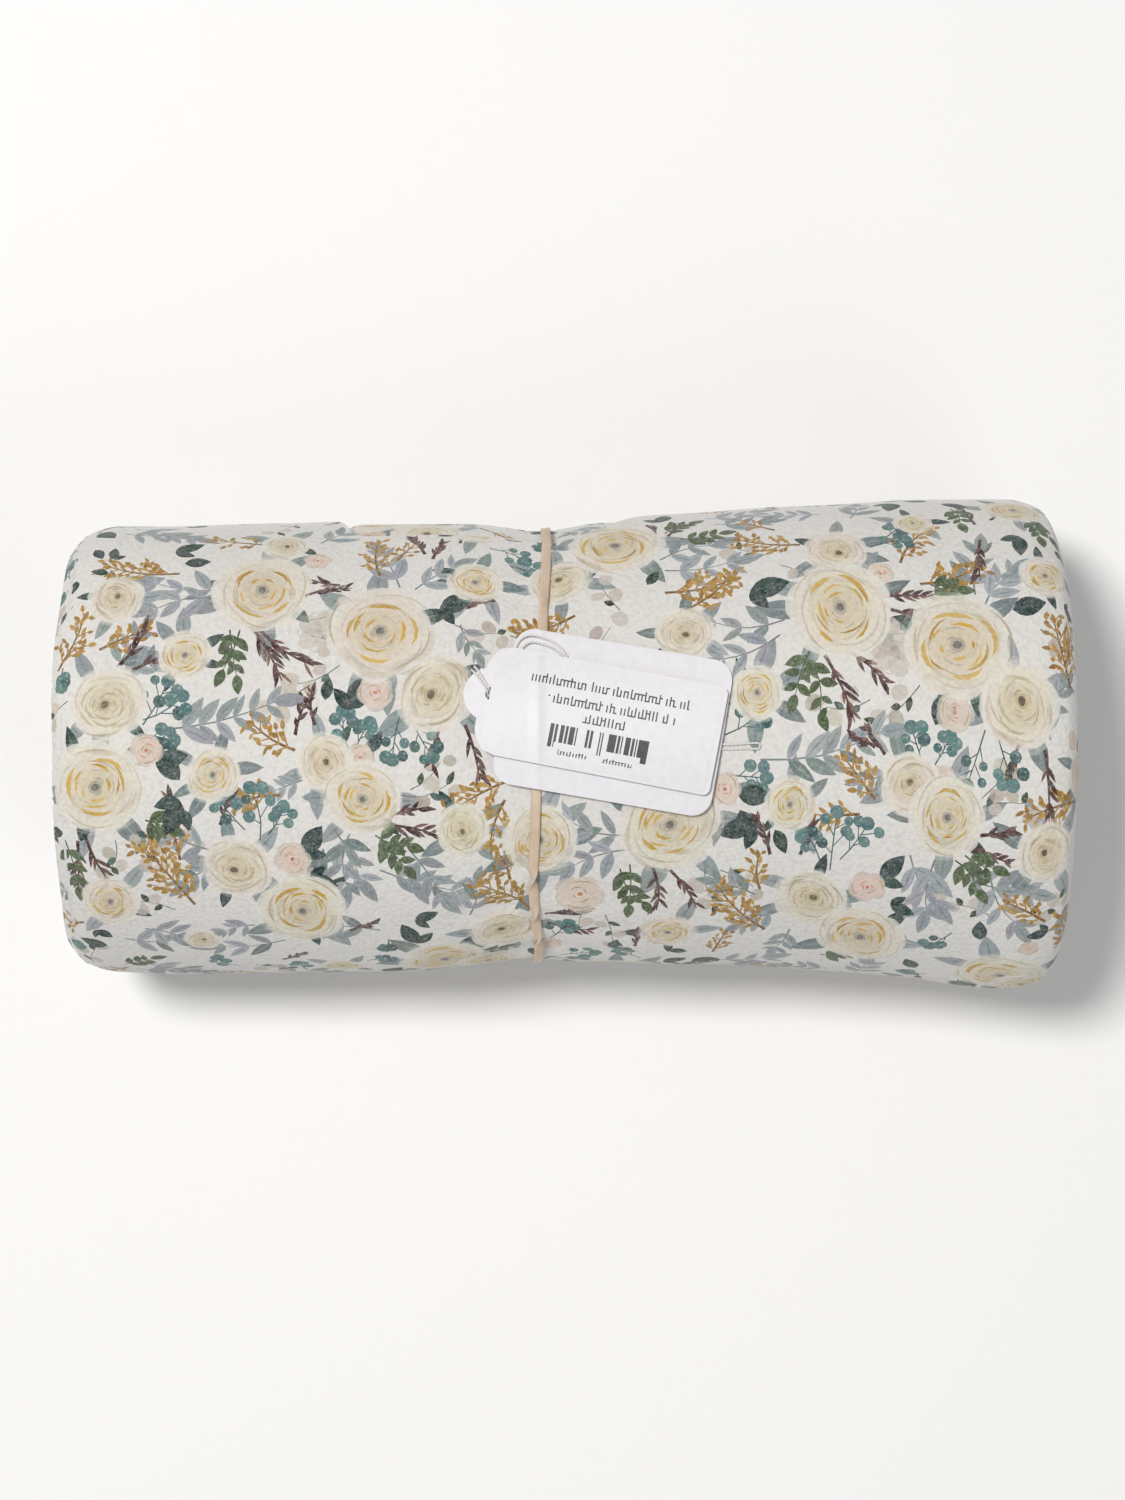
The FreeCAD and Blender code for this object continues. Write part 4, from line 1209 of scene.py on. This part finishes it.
def band_mesh():
    verts, faces = [], []
    path = band_path()
    centre, twist = [], []
    for x, t in path:
        psi = (START - t) % (2 * math.pi)
        p = place(np.array(x), np.array(psi + (2 * math.pi if psi < 0.45 else 0.0)), np.array(0.0), 0.35)
        centre.append(p)
        y = 62.6 * math.sin(t)
        up = math.cos(t) > 0
        turn = 0.0
        if up:
            for yc, wide in ((-37.2, 3.6), (-47.5, 3.0), (-54.6, 2.6)):
                turn += math.pi * float(smoothstep(np.array((yc - y) / (2 * wide) + 0.5)))
            turn -= 0.55 * math.exp(-(((y - 40.0) / 7.0) ** 2)) - 0.30 * math.exp(-(((y + 22.0) / 6.0) ** 2))
        else:
            turn = 3 * math.pi if math.sin(t) < 0 else 0.0
            turn += 0.25 * math.sin(5 * t)
        twist.append(turn)
    centre = np.array(centre)
    n = len(centre)
    tang = np.roll(centre, -1, 0) - np.roll(centre, 1, 0)
    tang /= np.linalg.norm(tang, axis=1)[:, None]
    outv = np.stack([np.zeros(n), np.array([math.sin(t) for _, t in path]), np.array([math.cos(t) for _, t in path])], 1)
    outv -= tang * (outv * tang).sum(1)[:, None]
    outv /= np.linalg.norm(outv, axis=1)[:, None]
    lat = np.cross(tang, outv)
    # the twist is a whole number of half turns, so the strip's section meets itself again
    half, thick = 1.42, 0.36
    section = [(half, 0), (half * 0.93, thick * 0.8), (half * 0.5, thick), (0, thick * 0.93), (-half * 0.5, thick), (-half * 0.93, thick * 0.8)]
    section += [(-a, -b) for a, b in section]
    for i in range(n):
        c, s = math.cos(twist[i]), math.sin(twist[i])
        squeeze = 1.0 - 0.10 * abs(s)
        rise = 0.40 + 0.75 * abs(s)
        o = centre[i] + outv[i] * rise
        l2, o2 = c * lat[i] + s * outv[i], -s * lat[i] + c * outv[i]
        for a, b in section:
            verts.append(o + l2 * a * squeeze + o2 * b)
    k = len(section)
    odd = round((twist[-1] - twist[0]) / math.pi) % 2
    for i in range(n):
        j = (i + 1) % n
        shift = 0
        if i == n - 1:  # closing: match each corner to the nearest one
            best = min(range(k), key=lambda sft: sum(np.linalg.norm(verts[i * k + c] - verts[(c + sft) % k]) for c in range(k)))
            shift = best
        for c in range(k):
            c2 = (c + 1) % k
            faces.append((i * k + c, i * k + c2, j * k + (c2 + shift) % k, j * k + (c + shift) % k))
    return new_mesh("rubber_band_twisted", np.array(verts) * MM, faces)


band = band_mesh()
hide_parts("rubber_band")
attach(band, "roll")


# ---------------------------------------------------------------- materials
def material(name):
    mat = bpy.data.materials.new(name)
    mat.use_nodes = True
    nt = mat.node_tree
    nt.nodes.clear()
    out = nt.nodes.new("ShaderNodeOutputMaterial")
    bsdf = nt.nodes.new("ShaderNodeBsdfPrincipled")
    nt.links.new(bsdf.outputs[0], out.inputs["Surface"])
    return mat, nt, bsdf


def coords(nt, kind="Object"):
    return nt.nodes.new("ShaderNodeTexCoord").outputs[kind]


def noise(nt, vec, scale, detail=2.0, rough=0.5):
    n = nt.nodes.new("ShaderNodeTexNoise")
    n.inputs["Scale"].default_value = scale
    n.inputs["Detail"].default_value = detail
    n.inputs["Roughness"].default_value = rough
    nt.links.new(vec, n.inputs["Vector"])
    return n


def ramp(nt, value, stops):
    r = nt.nodes.new("ShaderNodeValToRGB")
    el = r.color_ramp.elements
    while len(el) < len(stops):
        el.new(0.5)
    for e, (pos, col) in zip(el, stops):
        e.position = pos
        e.color = (*col, 1.0) if len(col) == 3 else col
    nt.links.new(value, r.inputs[0])
    return r


def mix(nt, a, b, factor, mode="MIX"):
    m = nt.nodes.new("ShaderNodeMix")
    m.data_type = "RGBA"
    m.blend_type = mode
    for socket, value in ((m.inputs[0], factor), (m.inputs[6], a), (m.inputs[7], b)):
        if hasattr(value, "is_linked"):
            nt.links.new(value, socket)
        elif isinstance(value, (int, float)):
            socket.default_value = value
        else:
            socket.default_value = (*value, 1.0)
    return m.outputs[2]


def maths(nt, op, a, b=None, c=None):
    m = nt.nodes.new("ShaderNodeMath")
    m.operation = op
    for i, v in enumerate((a, b, c)):
        if v is None:
            continue
        if hasattr(v, "is_linked"):
            nt.links.new(v, m.inputs[i])
        else:
            m.inputs[i].default_value = v
    return m.outputs[0]


def bump(nt, height, distance, strength=1.0, normal=None):
    b = nt.nodes.new("ShaderNodeBump")
    b.inputs["Distance"].default_value = distance
    b.inputs["Strength"].default_value = strength
    nt.links.new(height, b.inputs["Height"])
    if normal is not None:
        nt.links.new(normal, b.inputs["Normal"])
    return b.outputs[0]


def pebble(nt, vec, scale):
    v = nt.nodes.new("ShaderNodeTexVoronoi")
    v.feature = "SMOOTH_F1"
    v.inputs["Scale"].default_value = scale
    nt.links.new(vec, v.inputs["Vector"])
    return v.outputs["Distance"]


def knit(name, colour_source):
    """Pebbly textured knit: small raised grains with painted shade in the pits between them, faint speckle, soft sheen.
    """
    mat, nt, bsdf = material(name)
    vec = coords(nt)
    base = colour_source(nt, vec)
    grain = pebble(nt, vec, 950.0)
    fine = noise(nt, vec, 2600.0, 2.0, 0.6)
    soft = noise(nt, vec, 420.0, 3.0, 0.6)
    broad = noise(nt, vec, 26.0, 2.0, 0.5)
    # painted shade: the colour is darkened in the pits between the raised grains, where shade falls
    pit_painted_shade = ramp(nt, grain, [(0.25, (1, 1, 1)), (0.85, (0.82, 0.82, 0.825))])
    c = mix(nt, base, pit_painted_shade.outputs[0], 0.85, "MULTIPLY")
    worn = ramp(nt, soft.outputs[0], [(0.35, (0.0, 0.0, 0.0)), (0.75, (1, 1, 1))])
    c = mix(nt, c, tuple(linear((226, 224, 220))), maths(nt, "MULTIPLY", worn.outputs[0], 0.14))
    speck = ramp(nt, noise(nt, vec, 1350.0, 2.0, 0.55).outputs[0], [(0.50, (0.0, 0.0, 0.0)), (0.72, (1, 1, 1))])
    c = mix(nt, c, tuple(linear((232, 230, 226))), maths(nt, "MULTIPLY", speck.outputs[0], 0.20))
    shade = ramp(nt, broad.outputs[0], [(0.3, (0.975, 0.975, 0.98)), (0.7, (1.0, 1.0, 0.995))])
    c = mix(nt, c, shade.outputs[0], 1.0, "MULTIPLY")
    nt.links.new(c, bsdf.inputs["Base Color"])
    rough = maths(nt, "MULTIPLY_ADD", fine.outputs[0], 0.16, 0.74)
    nt.links.new(rough, bsdf.inputs["Roughness"])
    bsdf.inputs["Specular IOR Level"].default_value = 0.25
    bsdf.inputs["Sheen Weight"].default_value = 0.22
    bsdf.inputs["Sheen Roughness"].default_value = 0.45
    n1 = bump(nt, maths(nt, "SUBTRACT", 1.0, grain), 0.00026, 0.85)
    n2 = bump(nt, fine.outputs[0], 0.00006, 0.5, n1)
    nt.links.new(n2, bsdf.inputs["Normal"])
    return mat


def printed(nt, vec):
    a = nt.nodes.new("ShaderNodeVertexColor")
    a.layer_name = "print"
    return a.outputs["Color"]


def white_back(nt, vec):
    n = noise(nt, vec, 70.0, 2.0)
    return ramp(nt, n.outputs[0], [(0.3, linear((214, 212, 210))), (0.7, linear((224, 223, 221)))]).outputs[0]


def print_hint(nt, vec):
    """The printed face where it only shows as narrow folds at the roll's ends."""
    v = nt.nodes.new("ShaderNodeTexVoronoi")
    v.inputs["Scale"].default_value = 150.0
    nt.links.new(vec, v.inputs["Vector"])
    sep = nt.nodes.new("ShaderNodeSeparateColor")
    nt.links.new(v.outputs["Color"], sep.inputs[0])
    stops = [
        (0.00, linear((219, 217, 214))), (0.40, linear((218, 208, 186))), (0.58, linear((219, 217, 214))),
        (0.70, linear((132, 146, 144))), (0.79, linear((54, 84, 80))), (0.85, linear((219, 217, 214))),
        (0.92, linear((170, 128, 52))), (0.96, linear((86, 54, 50))), (0.975, linear((221, 196, 180))),
    ]
    pick = ramp(nt, sep.outputs[0], stops)
    pick.color_ramp.interpolation = "CONSTANT"
    fade = ramp(nt, v.outputs["Distance"], [(0.30, (1, 1, 1)), (0.55, (0, 0, 0))])
    return mix(nt, tuple(linear((219, 217, 214))), pick.outputs[0], maths(nt, "MULTIPLY", fade.outputs[0], 0.85))


mat_print = knit("printed_knit", printed)
mat_back = knit("knit_back", white_back)
mat_hint = knit("printed_knit_folds", print_hint)
wrap.data.materials.append(mat_print)
wrap.data.materials.append(mat_back)
inner_cloth.data.materials.append(mat_hint)
inner_cloth.data.materials.append(mat_back)


def rubber():
    mat, nt, bsdf = material("natural_rubber_strip")
    vec = coords(nt)
    n = noise(nt, vec, 130.0, 3.0, 0.6)
    c = ramp(nt, n.outputs[0], [(0.3, linear((204, 180, 155))), (0.7, linear((222, 202, 180)))])
    f = noise(nt, vec, 2400.0, 2.0)
    nt.links.new(mix(nt, c.outputs[0], ramp(nt, f.outputs[0], [(0.35, (0.9, 0.9, 0.9)), (0.65, (1, 1, 1))]).outputs[0], 1.0, "MULTIPLY"), bsdf.inputs["Base Color"])
    nt.links.new(maths(nt, "MULTIPLY_ADD", f.outputs[0], 0.2, 0.42), bsdf.inputs["Roughness"])
    bsdf.inputs["Subsurface Weight"].default_value = 0.08
    bsdf.inputs["Subsurface Radius"].default_value = (0.0012, 0.0008, 0.0005)
    nt.links.new(bump(nt, f.outputs[0], 0.00005, 0.5), bsdf.inputs["Normal"])
    return mat


band.data.materials.append(rubber())


def cotton():
    mat, nt, bsdf = material("cotton_twist")
    vec = coords(nt)
    n = noise(nt, vec, 3200.0, 3.0, 0.6)
    big = noise(nt, vec, 300.0, 2.0)
    c = ramp(nt, n.outputs[0], [(0.3, linear((212, 210, 206))), (0.7, linear((240, 239, 236)))])
    nt.links.new(mix(nt, c.outputs[0], ramp(nt, big.outputs[0], [(0.3, (0.92, 0.92, 0.92)), (0.7, (1, 1, 1))]).outputs[0], 1.0, "MULTIPLY"), bsdf.inputs["Base Color"])
    nt.links.new(maths(nt, "MULTIPLY_ADD", n.outputs[0], 0.2, 0.72), bsdf.inputs["Roughness"])
    bsdf.inputs["Sheen Weight"].default_value = 0.2
    nt.links.new(bump(nt, n.outputs[0], 0.0001, 0.8), bsdf.inputs["Normal"])
    return mat


mat_cotton = cotton()
for ob in (backing_thread, price_thread, backing_knot, price_knot):
    ob.data.materials.append(mat_cotton)


def card(name, ridge):
    """Smooth matt card, slightly mottled, with the low ridge where it lies over the band."""
    mat, nt, bsdf = material(name)
    vec = coords(nt)
    n = noise(nt, vec, 340.0, 4.0, 0.6)
    f = noise(nt, vec, 3000.0, 2.0)
    c = ramp(nt, n.outputs[0], [(0.3, linear((226, 225, 229))), (0.7, linear((234, 233, 236)))])
    base = mix(nt, c.outputs[0], ramp(nt, f.outputs[0], [(0.3, (0.975, 0.975, 0.975)), (0.7, (1, 1, 1))]).outputs[0], 1.0, "MULTIPLY")
    nt.links.new(base, bsdf.inputs["Base Color"])
    nt.links.new(maths(nt, "MULTIPLY_ADD", f.outputs[0], 0.12, 0.5), bsdf.inputs["Roughness"])
    bsdf.inputs["Specular IOR Level"].default_value = 0.35
    b = bump(nt, f.outputs[0], 0.00003, 0.4)
    sep = nt.nodes.new("ShaderNodeSeparateXYZ")
    nt.links.new(vec, sep.inputs[0])
    across = maths(nt, "SUBTRACT", sep.outputs[0], maths(nt, "MULTIPLY_ADD", sep.outputs[1], 0.03, -0.0066))
    hill = maths(nt, "POWER", 2.718, maths(nt, "MULTIPLY", maths(nt, "POWER", maths(nt, "DIVIDE", across, 0.0016), 2.0), -1.0))
    nt.links.new(bump(nt, hill, ridge, 1.0, b), bsdf.inputs["Normal"])
    return mat


def put(node, mat):
    me = nodes[node].data
    me.materials.clear()
    me.materials.append(mat)


put("backing_tag", card("backing_card", 0.00018))
put("price_tag", card("price_card", 0.00030))


def label():
    """A printed label: grey lines standing for wording, and plain upright bars standing for a code."""
    mat, nt, bsdf = material("printed_label")
    vec = coords(nt)
    mp = nt.nodes.new("ShaderNodeMapping")
    mp.vector_type = "TEXTURE"
    mp.inputs["Location"].default_value = (-0.0192, 0.0139, 0.0)
    mp.inputs["Rotation"].default_value = (0, 0, math.radians(-10.8))
    nt.links.new(vec, mp.inputs["Vector"])
    sep = nt.nodes.new("ShaderNodeSeparateXYZ")
    nt.links.new(mp.outputs[0], sep.inputs[0])
    u = maths(nt, "MULTIPLY", sep.outputs[0], 1000.0)
    v = maths(nt, "MULTIPLY", sep.outputs[1], 1000.0)

    def between(value, lo, hi):
        return maths(nt, "MULTIPLY", maths(nt, "GREATER_THAN", value, lo), maths(nt, "LESS_THAN", value, hi))

    def area(u0, u1, v0, v1):
        return maths(nt, "MULTIPLY", between(u, u0, u1), between(v, v0, v1))

    def bars(value, step, seed):
        """Irregular upright bars."""
        w = nt.nodes.new("ShaderNodeTexWhiteNoise")
        w.noise_dimensions = "1D"
        nt.links.new(maths(nt, "ADD", maths(nt, "FLOOR", maths(nt, "DIVIDE", value, step)), seed), w.inputs["W"])
        return w.outputs["Value"]

    ink = None

    def add(mask):
        nonlocal ink
        ink = mask if ink is None else maths(nt, "MAXIMUM", ink, mask)

    middle = maths(nt, "LESS_THAN", maths(nt, "ABSOLUTE", maths(nt, "SUBTRACT", maths(nt, "ABSOLUTE", maths(nt, "SUBTRACT", u, 31.0)), 6.8)), 5.2)
    bar_foot = maths(nt, "MULTIPLY_ADD", middle, 1.5, -11.2)
    code = maths(nt, "MULTIPLY", between(u, 17.3, 44.7), maths(nt, "MULTIPLY", maths(nt, "LESS_THAN", v, -4.8), maths(nt, "GREATER_THAN", v, bar_foot)))
    add(maths(nt, "MULTIPLY", code, maths(nt, "LESS_THAN", bars(u, 0.36, 3.0), 0.50)))
    # lines of wording as rows of upright ticks of uneven height with short links, with no letters
    for u0, u1, v0, v1, step, share, seed in (
        (9.3, 53.6, 5.6, 8.3, 0.98, 0.86, 11.0), (15.2, 50.8, 0.8, 3.5, 0.98, 0.86, 27.0), (25.6, 37.6, -3.2, -0.7, 1.05, 0.95, 41.0),
        (20.5, 28.5, -12.9, -11.5, 0.85, 0.96, 57.0), (33.0, 41.0, -12.9, -11.5, 0.85, 0.96, 71.0),
    ):
        cell = maths(nt, "FRACT", maths(nt, "DIVIDE", u, step))
        some = maths(nt, "LESS_THAN", bars(u, step, seed), share)
        low = maths(nt, "MULTIPLY_ADD", maths(nt, "LESS_THAN", bars(u, step, seed + 5.0), 0.62), -(v1 - v0) * 0.28, v1)
        upright = maths(nt, "MULTIPLY", maths(nt, "LESS_THAN", cell, 0.40), maths(nt, "LESS_THAN", v, low))
        x_height = v0 + (v1 - v0) * 0.72
        link_top = maths(nt, "MULTIPLY", between(v, x_height - 0.15 * (v1 - v0), x_height), maths(nt, "LESS_THAN", bars(u, step, seed + 9.0), 0.34))
        link_low = maths(nt, "MULTIPLY", between(v, v0, v0 + 0.15 * (v1 - v0)), maths(nt, "GREATER_THAN", bars(u, step, seed + 9.0), 0.72))
        mark = maths(nt, "MAXIMUM", upright, maths(nt, "MAXIMUM", link_top, link_low))
        line = maths(nt, "MULTIPLY", between(u, u0, u1), maths(nt, "GREATER_THAN", v, v0))
        add(maths(nt, "MULTIPLY", maths(nt, "MULTIPLY", line, mark), some))
    n = noise(nt, vec, 500.0, 3.0, 0.6)
    paper = ramp(nt, n.outputs[0], [(0.3, linear((222, 221, 225))), (0.7, linear((230, 229, 232)))])
    wear = ramp(nt, noise(nt, vec, 5200.0, 1.0).outputs[0], [(0.3, (0.86, 0.86, 0.86)), (0.6, (1, 1, 1))])
    amount = maths(nt, "MULTIPLY", ink, wear.outputs[0])
    nt.links.new(mix(nt, paper.outputs[0], tuple(linear((38, 38, 40))), amount), bsdf.inputs["Base Color"])
    nt.links.new(maths(nt, "MULTIPLY_ADD", n.outputs[0], 0.15, 0.40), bsdf.inputs["Roughness"])
    f = noise(nt, vec, 2600.0, 2.0)
    b = bump(nt, f.outputs[0], 0.00002, 0.3)
    across = maths(nt, "ADD", maths(nt, "SUBTRACT", u, 12.6), maths(nt, "MULTIPLY", v, 0.19))
    hill = maths(nt, "POWER", 2.718, maths(nt, "MULTIPLY", maths(nt, "POWER", maths(nt, "DIVIDE", across, 1.6), 2.0), -1.0))
    nt.links.new(bump(nt, hill, 0.00030, 1.0, b), bsdf.inputs["Normal"])
    return mat


put("price_label", label())

# ---------------------------------------------------------------- floor and light
floor = new_mesh("floor", [(-25, -25, 0), (25, -25, 0), (25, 25, 0), (-25, 25, 0)], [(0, 1, 2, 3)], smooth=False)
fmat, fnt, fb = material("studio_floor")
fn_ = noise(fnt, coords(fnt), 2.0, 2.0)
fnt.links.new(ramp(fnt, fn_.outputs[0], [(0.3, (0.945, 0.945, 0.945)), (0.7, (0.955, 0.955, 0.955))]).outputs[0], fb.inputs["Base Color"])
fb.inputs["Roughness"].default_value = 0.9
fb.inputs["Specular IOR Level"].default_value = 0.1
floor.data.materials.append(fmat)

world = bpy.data.worlds.new("studio")
scene.world = world
world.use_nodes = True
world.node_tree.nodes["Background"].inputs[0].default_value = (1.0, 0.995, 0.99, 1)
world.node_tree.nodes["Background"].inputs[1].default_value = 0.32


def area_light(name, at, towards, size, power, colour=(1, 1, 1)):
    data = bpy.data.lights.new(name, "AREA")
    data.shape = "DISK"
    data.size = size
    data.energy = power
    data.color = colour
    ob = bpy.data.objects.new(name, data)
    scene.collection.objects.link(ob)
    ob.location = at
    ob.rotation_euler = (Vector(towards) - Vector(at)).to_track_quat("-Z", "Y").to_euler()
    return ob


area_light("key", (-0.60, 0.42, 2.0), (0, 0, 0.05), 0.46, 29.8, (1.0, 0.985, 0.965))
area_light("fill", (0.9, -1.3, 1.5), (0, 0, 0.05), 1.2, 5.0, (0.96, 0.98, 1.0))
scene.view_settings.view_transform = "Standard"
scene.view_settings.look = "None"
scene.view_settings.exposure = 0.0
